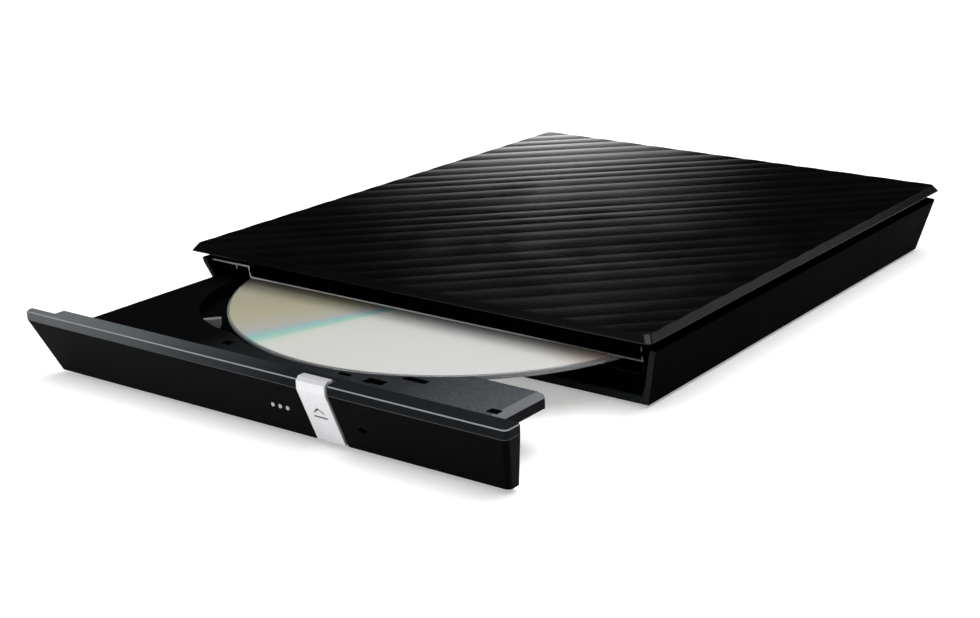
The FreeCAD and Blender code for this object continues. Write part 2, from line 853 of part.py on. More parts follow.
def disc_tray():
    flange = plate(tray_outline(), floor_bottom, tray_top)
    flap = box(deep_right_x, tray_right + 1, -20, tray_rear, floor_bottom - 1, flap_bottom)
    flange = flange.cut(flap)
    under_left = box(tray_left - 1, deep_left_x, -20, tray_rear + 1, floor_bottom - 1, floor_top)
    flange = flange.cut(under_left)
    walls = box(deep_left_x, deep_right_x, -20, tray_rear, deep_bottom, floor_bottom + 0.1)
    front_room = deep_room_front()
    room = box(deep_left_x + deep_wall, deep_right_x - deep_wall, front_room, tray_rear - deep_wall,
               deep_bottom - 1, floor_bottom)
    walls = walls.cut(room)
    tongues = []
    rear = rail_front + rail_length - tongue_rear
    for x0, x1 in ((deep_left_x - rail_depth, deep_left_x), (deep_right_x, deep_right_x + rail_depth)):
        tongues.append(box(x0, x1, rail_front + tongue_front, rear, rail_centre_z - tongue_height / 2,
                           rail_centre_z + tongue_height / 2))
    body = fuse([flange, walls] + tongues)
    pocket = rod(disc_x, disc_y, floor_top, tray_top + 1, pocket_radius)
    edge = Part.makeCone(pocket_radius, pocket_radius + 0.9, 0.5,
                         FreeCAD.Vector(disc_x, disc_y, tray_top - 0.4), FreeCAD.Vector(0, 0, 1))
    window = rod(disc_x, disc_y, floor_bottom - 1, tray_top, turntable_radius + window_gap)
    slot_front = lens_y - sled_out - 7.0
    slot = box(disc_x - 11.0, disc_x + 11.0, slot_front, disc_y, floor_bottom - 1, floor_top + 0.3)
    catch = box(post_x - 5, post_x + 8.5, post_y - 4.5, tray_rear + 1, deep_bottom - 1, floor_bottom)
    plunger = rod_along_y(plunger_x, tray_rear - 5, tray_rear + 5, plunger_z, plunger_radius + 0.1)
    tools = [pocket, edge, window, slot, finger_notch(), catch, plunger, front_board_room(), pinhole(0.2)]
    tools += surface_notches()
    tools.append(flap_bevel())
    tools.append(in_front_of(bezel_back_y, deep_bottom - 1, bezel_top + 2, lid_width))
    return body.cut(tools)


def flap_bevel():
    # Slanted edge along the right side of the flap
    side = tray_right - flap_inset
    points = [(side + 0.1, tray_top - flap_bevel_drop), (side + 0.1, tray_top + 0.1),
              (side - flap_bevel_width, tray_top + 0.1), (side - flap_bevel_width, tray_top)]
    return front_profile(points, -20, disc_y)


def deep_room_front():
    return bezel_back_y(deep_bottom) + 3.4


def front_board_room():
    gap = front_board_gap
    return box(front_board_x0 - gap, front_board_x1 + gap, -5, deep_room_front() - 1.2, deep_bottom - 1,
               floor_top - 0.4)


def pinhole(extra):
    return rod_along_y(pinhole_x, -20, 20, pinhole_z, pinhole_radius + extra)


def tray_cover():
    inset = 0.2
    cover = box(deep_left_x + inset, deep_right_x - inset, bezel_back_y(cover_bottom) + 1.0, tray_rear - 0.3,
                cover_bottom, deep_bottom)
    tools = [box(post_x - 5, post_x + 8.5, post_y - 4.5, tray_rear + 1, cover_bottom - 1, deep_bottom + 1)]
    for x, y in damper_places():
        tools.append(rod(x, y, cover_bottom - 1, deep_bottom + 1, 1.6))
    return cover.cut(tools)


# Bezel
def bezel_end_room(rear):
    # The bezel's left end is a thin plate; the rest is thick and closes the mouth
    low, high = bezel_bottom - 1, bezel_top + 1
    points = [(bezel_face_y(z) + bezel_end_wall, z) for z in (low, band_z, high)] + [(rear, high), (rear, low)]
    return side_profile(points, -lid_width, bezel_end - lid_width / 2)


def tray_bezel():
    half = lid_width / 2
    rear = 12.0

    def outline(z, lean_share):
        side = half - bezel_side_lean * lean_share
        front = bezel_front + bezel_front_lean * lean_share
        return rounded_outline(-side, side, front, rear, z, bezel_corner, 0.5)
    lower = tapered(outline(bezel_bottom, 1.0), outline(band_z, 0.0))
    upper = tapered(outline(band_z, 0.0), outline(bezel_top - bezel_chamfer, 0.0))
    chamfer = bezel_chamfer
    cap_low = rounded_outline(-half, half, bezel_front, rear, bezel_top - chamfer, bezel_corner, 0.5)
    cap_high = rounded_outline(chamfer - half, half - chamfer, bezel_front + chamfer, rear, bezel_top,
                               bezel_corner, 0.5)
    body = fuse([lower, upper, tapered(cap_low, cap_high)])
    body = body.common(in_front_of(bezel_back_y, bezel_bottom - 1, bezel_top + 1, lid_width))
    tools = [button_channel(), pinhole(0), bezel_end_room(rear)]
    for side in (-1, 1):
        x0, x1 = sorted((side * (half - bezel_end - bezel_core_wall), side * 38.0))
        core_front = bezel_face_y(band_z - 4) + bezel_core_wall
        tools.append(box(x0, x1, core_front, rear, band_z - 4, bezel_top - 1.4))
    for x in lamp_places():
        tools.append(rod_along_y(x, -20, 20, lamp_z, lamp_radius))
    dimple_y = bezel_face_y(pinhole_z)
    tools.append(Part.makeCone(pinhole_radius + 1.3, pinhole_radius, 0.7,
                               FreeCAD.Vector(pinhole_x, dimple_y - 0.1, pinhole_z), FreeCAD.Vector(0, 1, 0)))
    stem = button_stem + stem_gap
    tools.append(box(button_x - stem, button_x + stem, -20, 20, stem_z - stem, stem_z + stem))
    return body.cut(tools)


def button_channel():
    # Room for the button's strip and its travel, open at the front, top and bottom
    gap = button_gap
    deep = button_thick - button_proud + button_travel + 0.1
    points = [
        (-20, -1), (bezel_face_y(bezel_bottom) + deep, -1),
        (bezel_face_y(bezel_bottom) + deep, bezel_bottom), (bezel_front + deep, band_z),
        (bezel_front + deep, button_top - button_thick - 0.3),
        (bezel_front - button_proud + button_flap + button_travel + 0.3, button_top - button_thick - 0.3),
        (bezel_front - button_proud + button_flap + button_travel + 0.3, bezel_top + 1), (-20, bezel_top + 1),
    ]
    half = button_width / 2 + gap
    return side_profile(points, button_x - half, button_x + half)


def eject_button():
    low = bezel_bottom + 0.3
    proud, thick = button_proud, button_thick
    points = [
        (bezel_face_y(low) - proud, low), (bezel_front - proud, band_z),
        (bezel_front - proud, button_top - 0.8), (bezel_front - proud + 0.8, button_top),
        (bezel_front - proud + button_flap, button_top),
        (bezel_front - proud + button_flap, button_top - thick),
        (bezel_front - proud + thick, button_top - thick), (bezel_front - proud + thick, band_z),
        (bezel_face_y(low) - proud + thick, low),
    ]
    half = button_width / 2
    strip = side_profile(points, button_x - half, button_x + half)
    stem_start = bezel_face_y(stem_z) - proud + thick / 2
    stem = box(button_x - button_stem, button_x + button_stem, stem_start, switch_face_y() - button_travel - 0.1,
               stem_z - button_stem, stem_z + button_stem)
    return fuse([strip, stem]).cut(eject_mark())


def eject_mark():
    # Generic eject sign: an open wedge over a bar, pressed 0.25 mm into the strip
    depth = 0.25
    face = bezel_face_y(8.0) - button_proud
    wedge = [(button_x - 1.9, 8.1), (button_x, 9.7), (button_x + 1.9, 8.1), (button_x + 1.4, 8.1),
             (button_x, 9.2), (button_x - 1.4, 8.1)]
    bar = [(button_x - 1.9, 7.0), (button_x + 1.9, 7.0), (button_x + 1.9, 7.45), (button_x - 1.9, 7.45)]
    marks = []
    for points in (wedge, bar):
        middle = sum(z for x, z in points) / len(points)
        y = bezel_face_y(middle) - button_proud
        marks.append(front_profile(points, face - 3, y + depth))
    return marks


def switch_face_y():
    return bezel_back_y(stem_z) + switch_gap


def lamp_places():
    return [lamp_x + step * lamp_pitch for step in (-1, 0, 1)]


def lamp_pipes():
    pipes = []
    rear = board_face_y() - 0.5
    for x in lamp_places():
        pipe = rod_along_y(x, bezel_face_y(lamp_z) - 0.1, rear, lamp_z, lamp_radius)
        pipes.append(pipe)
    return Part.makeCompound(pipes)


def board_face_y():
    return switch_face_y() + switch_height


def front_board():
    y = board_face_y()
    return box(front_board_x0, front_board_x1, y, y + front_board_thick, deep_bottom + 0.3, floor_bottom - 0.7)


def lamp_chips():
    y = board_face_y()
    return Part.makeCompound([box(x - 0.5, x + 0.5, y - 0.5, y, lamp_z - 0.4, lamp_z + 0.3) for x in lamp_places()])


def eject_switch():
    y = board_face_y()
    body = box(button_x - 1.9, button_x + 1.9, y - 0.5, y, stem_z - 1.5, floor_bottom - 0.8)
    key = rod_along_y(button_x, switch_face_y(), y - 0.4, stem_z, 0.7)
    return fuse([body, key])


# Boards and small parts in the tray
def main_board_corner():
    return (deep_left_x + deep_wall + 0.6, rods_front() + main_board_front)


def main_board():
    left, front = main_board_corner()
    return box(left, traverse_left_x - main_board_gap, front, tray_rear - main_board_rear, board_bottom,
               board_bottom + board_thick)


def main_board_chips():
    left, front = main_board_corner()
    low = board_bottom + board_thick
    chips = []
    for x, y, width, depth, height in ((4.6, 18, 14, 14, 1.2), (5.6, 42, 8, 5, 1.0),
                                       (17.6, 40, 7, 10, 1.1), (5.6, 58, 6, 6, 0.9)):
        chips.append(box(left + x, left + x + width, front + y, front + y + depth, low, low + height))
    return Part.makeCompound(chips)


def damper_places():
    rear = disc_y + damper_behind_disc
    left, front = traverse_left_x + damper_inset, rods_front() + damper_behind_front
    return [(left, front), (left, rear), (disc_x + damper_reach_x, rear)]


def traverse_frame():
    left, right = traverse_left_x, deep_right_x - deep_wall - 0.2
    front, rear = rods_front(), disc_y + traverse_behind_disc
    body = box(left, right, front, rear, traverse_bottom, traverse_top)
    open_left, open_right = rod_left_x - 4.0, screw_x + stepper_radius + 0.4
    opening = box(open_left, open_right, front + frame_rail, rods_end() - 3, traverse_bottom - 1, traverse_top + 1)
    rotor_room = rod(disc_x, disc_y, traverse_bottom - 1, traverse_top + 1, rotor_radius + rotor_gap)
    tools = [opening, rotor_room]
    for x in (rod_left_x, rod_right_x):
        tools.append(rod_along_y(x, front + 0.6, rods_end(), rod_z, rod_radius))
    tools.append(rod_along_y(screw_x, 20, rods_end() - 1.4, rod_z, screw_radius + 0.06))
    for x, y in damper_places():
        tools.append(rod(x, y, 0, 20, damper_radius))
    return body.cut(tools)


def rods_end():
    return disc_y - rotor_radius + 2.5


def rods_front():
    return deep_room_front() + 0.2


def guide_rods():
    return Part.makeCompound([rod_along_y(x, rods_front() + 0.6, rods_end(), rod_z, rod_radius)
                              for x in (rod_left_x, rod_right_x)])


def dampers():
    rubbers = []
    for x, y in damper_places():
        body = ring(x, y, deep_bottom + 0.7, floor_bottom, damper_radius, damper_hole)
        groove = ring(x, y, (deep_bottom + floor_bottom) / 2 + 1.2, floor_bottom - 0.3, 4, 2.1)
        rubbers.append(body.cut(groove))
    return Part.makeCompound(rubbers)


def damper_screws():
    screws = []
    for x, y in damper_places():
        head = rod(x, y, deep_bottom + 0.05, deep_bottom + 0.7, 1.5)
        shank = rod(x, y, deep_bottom + 0.6, floor_bottom, damper_hole)
        slot = box(x - 1.0, x + 1.0, y - 0.15, y + 0.15, deep_bottom, deep_bottom + 0.3)
        screws.append(fuse([head, shank]).cut(slot))
    return Part.makeCompound(screws)


# Spindle motor
def motor_base():
    z0 = traverse_bottom - motor_plate
    reach = motor_reach
    base_plate = box(disc_x - reach, disc_x + reach + 1, disc_y - reach / 2, disc_y + reach, z0, traverse_bottom)
    disc_plate = rod(disc_x, disc_y, z0, traverse_bottom, rotor_radius + 1.6)
    bush = ring(disc_x, disc_y, z0, rotor_top - rotor_top_wall - 0.4, bush_radius, shaft_radius + run_gap)
    body = fuse([base_plate, disc_plate, bush])
    tools = [rod(disc_x, disc_y, z0 + shaft_foot, rotor_top, shaft_radius + run_gap)]
    for x, y in damper_places():
        tools.append(rod(x, y, 0, 20, damper_radius + 0.3))
    return body.cut(tools)


def stator():
    core = ring(disc_x, disc_y, traverse_bottom, rotor_top - rotor_top_wall - 0.8, stator_radius, bush_radius)
    slots = []
    half = stator_slot / 2
    for step in range(stator_poles):
        tool = box(disc_x + stator_core, disc_x + stator_radius + 1, disc_y - half, disc_y + half,
                   traverse_bottom - 1, rotor_top)
        tool.rotate(FreeCAD.Vector(disc_x, disc_y, 0), FreeCAD.Vector(0, 0, 1), step * 360.0 / stator_poles)
        slots.append(tool)
    return core.cut(slots)


def rotor():
    can = rod(disc_x, disc_y, rotor_bottom, rotor_top, rotor_radius)
    can = can.cut(rod(disc_x, disc_y, rotor_bottom - 1, rotor_top - rotor_top_wall, rotor_radius - rotor_wall))
    shaft = rod(disc_x, disc_y, traverse_bottom - motor_plate + shaft_foot + run_gap, rotor_top, shaft_radius)
    table = rod(disc_x, disc_y, rotor_top, disc_bottom - pad_thick, turntable_radius)
    core = rod(disc_x, disc_y, disc_bottom - pad_thick, disc_bottom, hub_seat_radius)
    return fuse([can, shaft, table, core])


def turntable_pad():
    return ring(disc_x, disc_y, disc_bottom - pad_thick, disc_bottom, turntable_radius - 0.3, hub_seat_radius + pad_gap)


def hub_slots():
    tools = []
    for step in range(3):
        for side in (-1, 1):
            tool = box(disc_x + 3.6, disc_x + hub_radius + 1, disc_y + side * 1.8 - 0.25,
                       disc_y + side * 1.8 + 0.25, disc_bottom + 0.2, disc_top + 2)
            tool.rotate(FreeCAD.Vector(disc_x, disc_y, 0), FreeCAD.Vector(0, 0, 1), 90 + step * 120)
            tools.append(tool)
    return tools


def disc_hub():
    # Cap with three sprung tongues that hold the disc's bore
    top = disc_top + hub_proud
    body = rod(disc_x, disc_y, disc_bottom, top - 0.4, hub_radius)
    crown = Part.makeCone(hub_radius, hub_radius - 0.5, 0.4, FreeCAD.Vector(disc_x, disc_y, top - 0.4),
                          FreeCAD.Vector(0, 0, 1))
    dish = rod(disc_x, disc_y, top - 0.5, top + 1, 3.2)
    return fuse([body, crown]).cut(hub_slots() + [dish])


def disc():
    body = ring(disc_x, disc_y, disc_bottom, disc_top, disc_radius, disc_bore)
    stack = ring(disc_x, disc_y, disc_bottom - 1, disc_bottom + 0.15, 17.3, 16.7)
    return body.cut(stack)


# Pickup sled
def pickup_sled():
    y0, y1 = lens_y - sled_front, lens_y + sled_rear
    left = rod_left_x - rod_radius - 1.2
    low = sled_bottom + 0.3
    core = box(rod_left_x + sled_arm, rod_right_x - sled_arm, y0, y1, sled_bottom, sled_top)
    bearing0 = box(left, rod_left_x + sled_arm, y0, y0 + sled_bearing, low, sled_top)
    bearing1 = box(left, rod_left_x + sled_arm, y1 - sled_bearing, y1, low, sled_top)
    fork = box(rod_right_x - sled_arm, rod_right_x + 1.9, lens_y - sled_bearing / 2, lens_y + sled_bearing / 2, low,
               sled_top)
    body = fuse([core, bearing0, bearing1, fork])
    tools = [rod_along_y(rod_left_x, y0 - 1, y1 + 1, rod_z, rod_radius + run_gap)]
    tools.append(rod_along_y(rod_right_x, y0 - 1, y1 + 1, rod_z, rod_radius + run_gap))
    tools.append(box(rod_right_x, rod_right_x + 3, y0 - 1, y1 + 1, rod_z - rod_radius - run_gap,
                     rod_z + rod_radius + run_gap))
    well = sled_core_half + 0.2
    tools.append(box(disc_x - well, disc_x + well, lens_y - 6.2, lens_y + 5.6, sled_bottom + 1.0, sled_top + 1))
    return body.cut(tools)


def actuator_frame():
    low = sled_bottom + 1.0
    half = sled_core_half
    base_plate = box(disc_x - half, disc_x + half, lens_y - 6.0, lens_y + 5.4, low, low + 0.5)
    poles = [box(disc_x - 4.0, disc_x + 4.0, lens_y - 6.0, lens_y - 5.0, low, actuator_top),
             box(disc_x - 4.0, disc_x + 4.0, lens_y + 4.4, lens_y + 5.4, low, actuator_top)]
    side = box(disc_x - half, disc_x - half + 1.0, lens_y - 3.0, lens_y + 2.4, low, actuator_top - 0.5)
    return fuse([base_plate] + poles + [side])


def actuator_magnets():
    low = sled_bottom + 1.5
    return Part.makeCompound([
        box(disc_x - 3.6, disc_x + 3.6, lens_y - 5.0, lens_y - 4.2, low, actuator_top - 0.3),
        box(disc_x - 3.6, disc_x + 3.6, lens_y + 3.6, lens_y + 4.4, low, actuator_top - 0.3),
    ])


def lens_holder():
    low = sled_bottom + 1.5 + focus_gap + 0.3
    half = 3.1
    y = lens_y - lens_offset
    body = box(disc_x - lens_x_half, disc_x + lens_x_half, y - half, y + half, low, actuator_top)
    collar = ring(disc_x, y, actuator_top - 0.4, lens_top - 0.25, lens_bore + collar_wall, lens_bore)
    bore = rod(disc_x, y, low - 1, lens_top, lens_bore)
    return fuse([body.cut(bore), collar.cut(bore)])


def objective_lens():
    y = lens_y - lens_offset
    curve = 3.2
    barrel = rod(disc_x, y, actuator_top - 0.6, lens_top - 0.45, lens_bore)
    dome = Part.makeSphere(curve, FreeCAD.Vector(disc_x, y, lens_top - curve))
    cap = dome.common(rod(disc_x, y, lens_top - 0.9, lens_top + 1, lens_bore - 0.2))
    return fuse([barrel, cap])


def laser_unit():
    y1 = lens_y + sled_rear
    return box(disc_x + 6.9, disc_x + 10.4, y1 - 5.5, y1 - 0.4, sled_top, sled_top + 0.7)


def follower_arm():
    # Reaches from the sled under the rod and holds the lead screw from below
    y0, y1 = lens_y + 3.2, lens_y + 7.2
    top = rod_z - rod_radius - 0.25
    arm = box(rod_right_x - sled_arm, screw_x + 1.8, y0, y1, sled_bottom, top)
    jaw = box(screw_x - 1.8, screw_x + 1.8, y0, y1, sled_bottom, rod_z)
    bite = rod_along_y(screw_x, y0 - 1, y1 + 1, rod_z, screw_radius + run_gap)
    return fuse([arm, jaw]).cut(bite)


def stepper():
    # Flat-sided can with a bearing at its screw end
    y0 = rods_front() + frame_rail + 0.2
    y1 = y0 + stepper_length
    can = rod_along_y(screw_x, y0, y1, rod_z, stepper_radius)
    can = can.common(box(screw_x - 5, screw_x + 5, y0, y1, rod_z - stepper_flat, rod_z + stepper_flat))
    bearing = rod_along_y(screw_x, y1, y1 + 0.8, rod_z, 1.4)
    bore = rod_along_y(screw_x, y0 + 1.5, y1 + 2, rod_z, 0.6 + run_gap)
    return fuse([can, bearing]).cut(bore)


def lead_screw():
    y0 = rods_front() + frame_rail + 0.2
    journal = rod_along_y(screw_x, y0 + 1.7, y0 + stepper_length + 2.0, rod_z, 0.6)
    start = y0 + stepper_length + 1.0
    body = rod_along_y(screw_x, start, rods_end() - 1.6, rod_z, screw_radius)
    grooves = []
    pitch = 3.0
    place = start + 1.5
    while place < rods_end() - 6:
        groove = rod_along_y(screw_x, place, place + 0.5, rod_z, screw_radius + 1)
        grooves.append(groove.cut(rod_along_y(screw_x, place - 1, place + 2, rod_z, screw_radius - 0.2)))
        place += pitch / 2
    return fuse([journal, body]).cut(grooves)


# Latch and ejector
def latch_lever():
    # Drawn hooked behind the post, then swung clear of it
    px, py = pivot_x, pivot_y
    low, high = deep_bottom + 0.9, deep_bottom + 2.1
    tip = post_y + post_radius + 0.4
    points = [
        (px - 2.4, py - 2.4), (px + 2.4, py - 2.4), (px + 2.4, py + 1.0), (post_x + 5.2, tip + 1.6),
        (post_x - 1.0, tip + 1.6), (post_x - 1.0, tip), (post_x + 2.6, tip), (px - 2.6, py + 1.6),
    ]
    body = plate(points, low, high)
    boss = ring(px, py, low, high + 0.5, 2.6, 1.0 + run_gap)
    bore = rod(px, py, 0, 20, 1.0 + run_gap)
    lever = fuse([body, boss]).cut(bore)
    lever.rotate(FreeCAD.Vector(px, py, 0), FreeCAD.Vector(0, 0, 1), -latch_swing)
    return lever


def latch_pin():
    px, py = pivot_x, pivot_y
    pin = rod(px, py, deep_bottom + 0.3, floor_bottom, 1.0)
    washer = rod(px, py, deep_bottom + 0.1, deep_bottom + 0.6, 1.8)
    return fuse([pin, washer])


def latch_magnet():
    x, y = magnet_x, magnet_y
    core = box(x - 3.6, x + 3.6, y - 7.0, y + 7.0, deep_bottom + 0.4, deep_bottom + 3.6)
    keeper = box(x + 3.6, x + 7.4, y - 1.4, y + 0.2, deep_bottom + 1.6, deep_bottom + 2.4)
    window = box(x - 2.4, x + 2.4, y - 5.0, y + 5.0, deep_bottom + 3.0, deep_bottom + 4.0)
    return fuse([core, keeper]).cut(window)


def ejector_plunger():
    y1 = plunger_rear
    shaft = rod_along_y(plunger_x, y1 - 26, y1, plunger_z, plunger_radius)
    collar = rod_along_y(plunger_x, y1 - 12.5, y1 - 11.5, plunger_z, 1.7)
    return fuse([shaft, collar])


def ejector_housing():
    y1 = plunger_rear
    block = box(plunger_x - 3.0, plunger_x + 3.0, y1 - 30, y1 - 26.5, deep_bottom + 0.1, floor_bottom)
    stand = box(plunger_x - 3.0, plunger_x + 3.0, y1 - 24.6, y1 - 22.4, deep_bottom + 0.1, floor_bottom)
    bore = rod_along_y(plunger_x, y1 - 26.4, y1 - 20, plunger_z, plunger_radius + run_gap)
    return fuse([block, stand, box(plunger_x - 3.0, plunger_x + 3.0, y1 - 30, y1 - 22.4, floor_bottom - 0.5,
                                   floor_bottom)]).cut(bore)


def ejector_spring():
    y1 = plunger_rear
    wire = spring_wire / 2
    coil_radius = plunger_radius + wire + 0.12
    start, end = y1 - 22.2, y1 - 12.7
    helix = Part.makeHelix((end - start) / spring_turns, end - start, coil_radius)
    profile = Part.Wire(Part.makeCircle(wire, FreeCAD.Vector(coil_radius, 0, 0), FreeCAD.Vector(0, 1, 0)))
    coil = Part.Wire(helix).makePipeShell([profile], True, True)
    coil.rotate(FreeCAD.Vector(0, 0, 0), FreeCAD.Vector(1, 0, 0), -90)
    coil.translate(FreeCAD.Vector(plunger_x, start, plunger_z))
    return coil


def save(name, shape, slide):
    moved = shape.copy()
    moved.translate(FreeCAD.Vector(0, -slide - middle_y, foot_proud))
    solids = len(moved.Solids)
    print(name, "solids", solids, "valid", moved.isValid(), "volume", round(moved.Volume, 1))
    moved.exportStep("parts/" + name + ".step")


def save_case():
    save("top_cover", top_cover(), 0)
    save("middle_frame", middle_frame(), 0)
    save("base_shell", base_shell(), 0)
    for name, (x, y) in foot_centres().items():
        save(name, foot(x, y), 0)
    save("case_screws", case_screws(), 0)
    save("drive_screws", drive_screws(), 0)
    save("bridge_board", bridge_board(), 0)
    save("board_screws", board_screws(), 0)
    save("usb_socket", usb_socket(), 0)
    save("board_connector", board_connector(), 0)
    save("bridge_chips", bridge_chips(), 0)
    save("bridge_capacitors", bridge_capacitors(), 0)


def save_drive():
    save("drive_chassis", drive_chassis(), 0)
    save("drive_cover", drive_cover(), 0)
    save("cover_screws", cover_screws(), 0)
    save("drive_connector", drive_connector(), 0)
    save("latch_post", latch_post(), 0)
    save("left_rail_guide", guide(left_guide_x, 1, False), 0)
    save("right_rail_guide", guide(right_guide_x, -1, True), 0)
    save("left_rail", rail(left_rail_x(), 1), tray_out / 2)
    save("right_rail", rail(right_rail_x(), -1), tray_out / 2)


def save_tray():
    save("disc_tray", disc_tray(), tray_out)
    save("tray_cover", tray_cover(), tray_out)
    save("tray_bezel", tray_bezel(), tray_out)
    save("lamp_pipes", lamp_pipes(), tray_out)
    save("eject_button", eject_button(), tray_out)
    save("front_board", front_board(), tray_out)
    save("lamp_chips", lamp_chips(), tray_out)
    save("eject_switch", eject_switch(), tray_out)
    save("main_board", main_board(), tray_out)
    save("main_board_chips", main_board_chips(), tray_out)
    save("latch_lever", latch_lever(), tray_out)
    save("latch_pin", latch_pin(), tray_out)
    save("latch_magnet", latch_magnet(), tray_out)
    save("ejector_plunger", ejector_plunger(), tray_out)
    save("ejector_housing", ejector_housing(), tray_out)
    save("ejector_spring", ejector_spring(), tray_out)


def save_mechanism():
    save("traverse_frame", traverse_frame(), tray_out)
    save("dampers", dampers(), tray_out)
    save("damper_screws", damper_screws(), tray_out)
    save("motor_base", motor_base(), tray_out)
    save("stator", stator(), tray_out)
    save("rotor", rotor(), tray_out)
    save("turntable_pad", turntable_pad(), tray_out)
    save("disc_hub", disc_hub(), tray_out)
    save("disc", disc(), tray_out)
    save("guide_rods", guide_rods(), tray_out)
    save("stepper_motor", stepper(), tray_out)
    save("lead_screw", lead_screw(), tray_out)
    save("pickup_sled", pickup_sled(), tray_out)
    save("actuator_frame", actuator_frame(), tray_out)
    save("actuator_magnets", actuator_magnets(), tray_out)
    save("lens_holder", lens_holder(), tray_out)
    save("objective_lens", objective_lens(), tray_out)
    save("laser_unit", laser_unit(), tray_out)
    save("follower_arm", follower_arm(), tray_out)


save_case()
save_drive()
save_tray()
save_mechanism()
print("middle_y", round(middle_y, 3), "disc", disc_x, round(disc_y - tray_out - middle_y, 3))
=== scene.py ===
import math

import bmesh
import bpy
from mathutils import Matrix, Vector


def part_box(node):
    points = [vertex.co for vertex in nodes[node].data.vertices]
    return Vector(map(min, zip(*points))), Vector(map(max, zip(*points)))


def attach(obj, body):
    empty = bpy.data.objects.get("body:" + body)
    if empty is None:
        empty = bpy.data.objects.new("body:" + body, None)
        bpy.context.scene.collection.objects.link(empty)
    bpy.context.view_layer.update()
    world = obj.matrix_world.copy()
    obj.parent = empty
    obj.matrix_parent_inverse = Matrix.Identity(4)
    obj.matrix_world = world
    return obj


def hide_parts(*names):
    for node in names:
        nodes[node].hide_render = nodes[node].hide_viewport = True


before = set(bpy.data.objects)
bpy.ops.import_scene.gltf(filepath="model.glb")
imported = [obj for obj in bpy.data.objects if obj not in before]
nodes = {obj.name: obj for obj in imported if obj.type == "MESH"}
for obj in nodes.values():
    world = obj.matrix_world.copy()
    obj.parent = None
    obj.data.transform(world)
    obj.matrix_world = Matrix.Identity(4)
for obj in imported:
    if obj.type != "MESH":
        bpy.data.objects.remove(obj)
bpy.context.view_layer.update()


# Photographer's camera: a long lens from the front right, 18 degrees above the table, with the
# lens shifted sideways so that the drive sits in the middle of the frame.
dip, roll, turn = 0.32094, 0.00141, 0.55425
camera_data = bpy.data.cameras.new("camera")
camera_data.sensor_width = 36.0
camera_data.lens = 62.21
camera_data.shift_x = -0.1816
camera_data.clip_start = 0.02
camera = bpy.data.objects.new("camera", camera_data)
camera.location = (0.25643, -0.34604, 0.14205)
camera.rotation_euler = (math.pi / 2 - dip, roll, turn)
bpy.context.scene.collection.objects.link(camera)
bpy.context.scene.camera = camera
bpy.context.scene.view_settings.view_transform = "Standard"


# Studio: a white table top in a dim room with a paler ceiling. A large softbox hangs overhead,
# one stands in front and a card behind; a low strip light behind a diffuser glares on the lid.
def linear(colour):
    parts = [int(colour[i:i + 2], 16) / 255 for i in (1, 3, 5)]
    return tuple(c / 12.92 if c <= 0.04045 else ((c + 0.055) / 1.055) ** 2.4 for c in parts) + (1.0,)


def wire(node, inputs):
    for socket, value in inputs.items():
        if isinstance(value, bpy.types.NodeSocket):
            node.id_data.links.new(value, node.inputs[socket])
        else:
            node.inputs[socket].default_value = value


# Sockets that share a name go by number: a mix has its colours at 6 and 7 and their result at 2,
# its vectors at 4 and 5 and their result at 1, and a range maps 1 and 2 to 3 and 4. A pattern
# with a Scale of 1000 / s has features of s millimetres.
def add(tree, kind, inputs, stops=(), **settings):
    node = tree.nodes.new(kind)
    for name, value in settings.items():
        setattr(node, name, value)
    for position, colour in stops[1:-1]:
        node.color_ramp.elements.new(position)
    for i, (position, colour) in enumerate(stops):
        node.color_ramp.elements[i].position = position
        node.color_ramp.elements[i].color = linear(colour)
    wire(node, inputs)
    return node


def new_material(name):
    material = bpy.data.materials.new(name)
    material.use_nodes = True
    tree = material.node_tree
    place = add(tree, "ShaderNodeTexCoord", {}).outputs["Object"]
    return material, tree, tree.nodes["Principled BSDF"], place


def mesh_piece(name, build, material, body):
    mesh = bpy.data.meshes.new(name)
    shape = bmesh.new()
    build(shape)
    bmesh.ops.recalc_face_normals(shape, faces=shape.faces)
    shape.to_mesh(mesh)
    shape.free()
    piece = bpy.data.objects.new(name, mesh)
    bpy.context.scene.collection.objects.link(piece)
    mesh.materials.append(material)
    if body:
        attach(piece, body)
    return piece


# The camera and the reflections see the table glow, so that it stays white. The glow is weaker
# near the drive, which keeps a soft shadow under it, and lights nothing.
white_table, tree, shader, place = new_material("white table top")
wire(shader, {"Base Color": linear("#f4f4f4"), "Roughness": 0.6})
path = add(tree, "ShaderNodeLightPath", {})
glossy = add(tree, "ShaderNodeMath", {0: path.outputs["Is Glossy Ray"],
                                      1: path.outputs["Is Transmission Ray"]}, operation="MAXIMUM")
seen = add(tree, "ShaderNodeMath", {0: path.outputs["Is Camera Ray"], 1: glossy.outputs[0]},
           operation="MAXIMUM")
near, far, dim = 0.4, 1.5, 0.35
away = add(tree, "ShaderNodeVectorMath", {0: place}, operation="LENGTH")
strength = add(tree, "ShaderNodeMapRange", {0: away.outputs["Value"], 1: near, 2: far, 3: dim, 4: 1.0})
glow = add(tree, "ShaderNodeEmission", {"Color": linear("#ffffff"), "Strength": strength.outputs[0]})
both = add(tree, "ShaderNodeAddShader", {0: shader.outputs[0], 1: glow.outputs[0]})
shown = add(tree, "ShaderNodeMixShader", {0: seen.outputs[0], 1: shader.outputs[0], 2: both.outputs[0]})
wire(tree.nodes["Material Output"], {"Surface": shown.outputs[0]})


def table_top(shape):
    bmesh.ops.create_grid(shape, x_segments=8, y_segments=8, size=4.0)


table = mesh_piece("table_top", table_top, white_table, None)
table.location.z = -0.0001

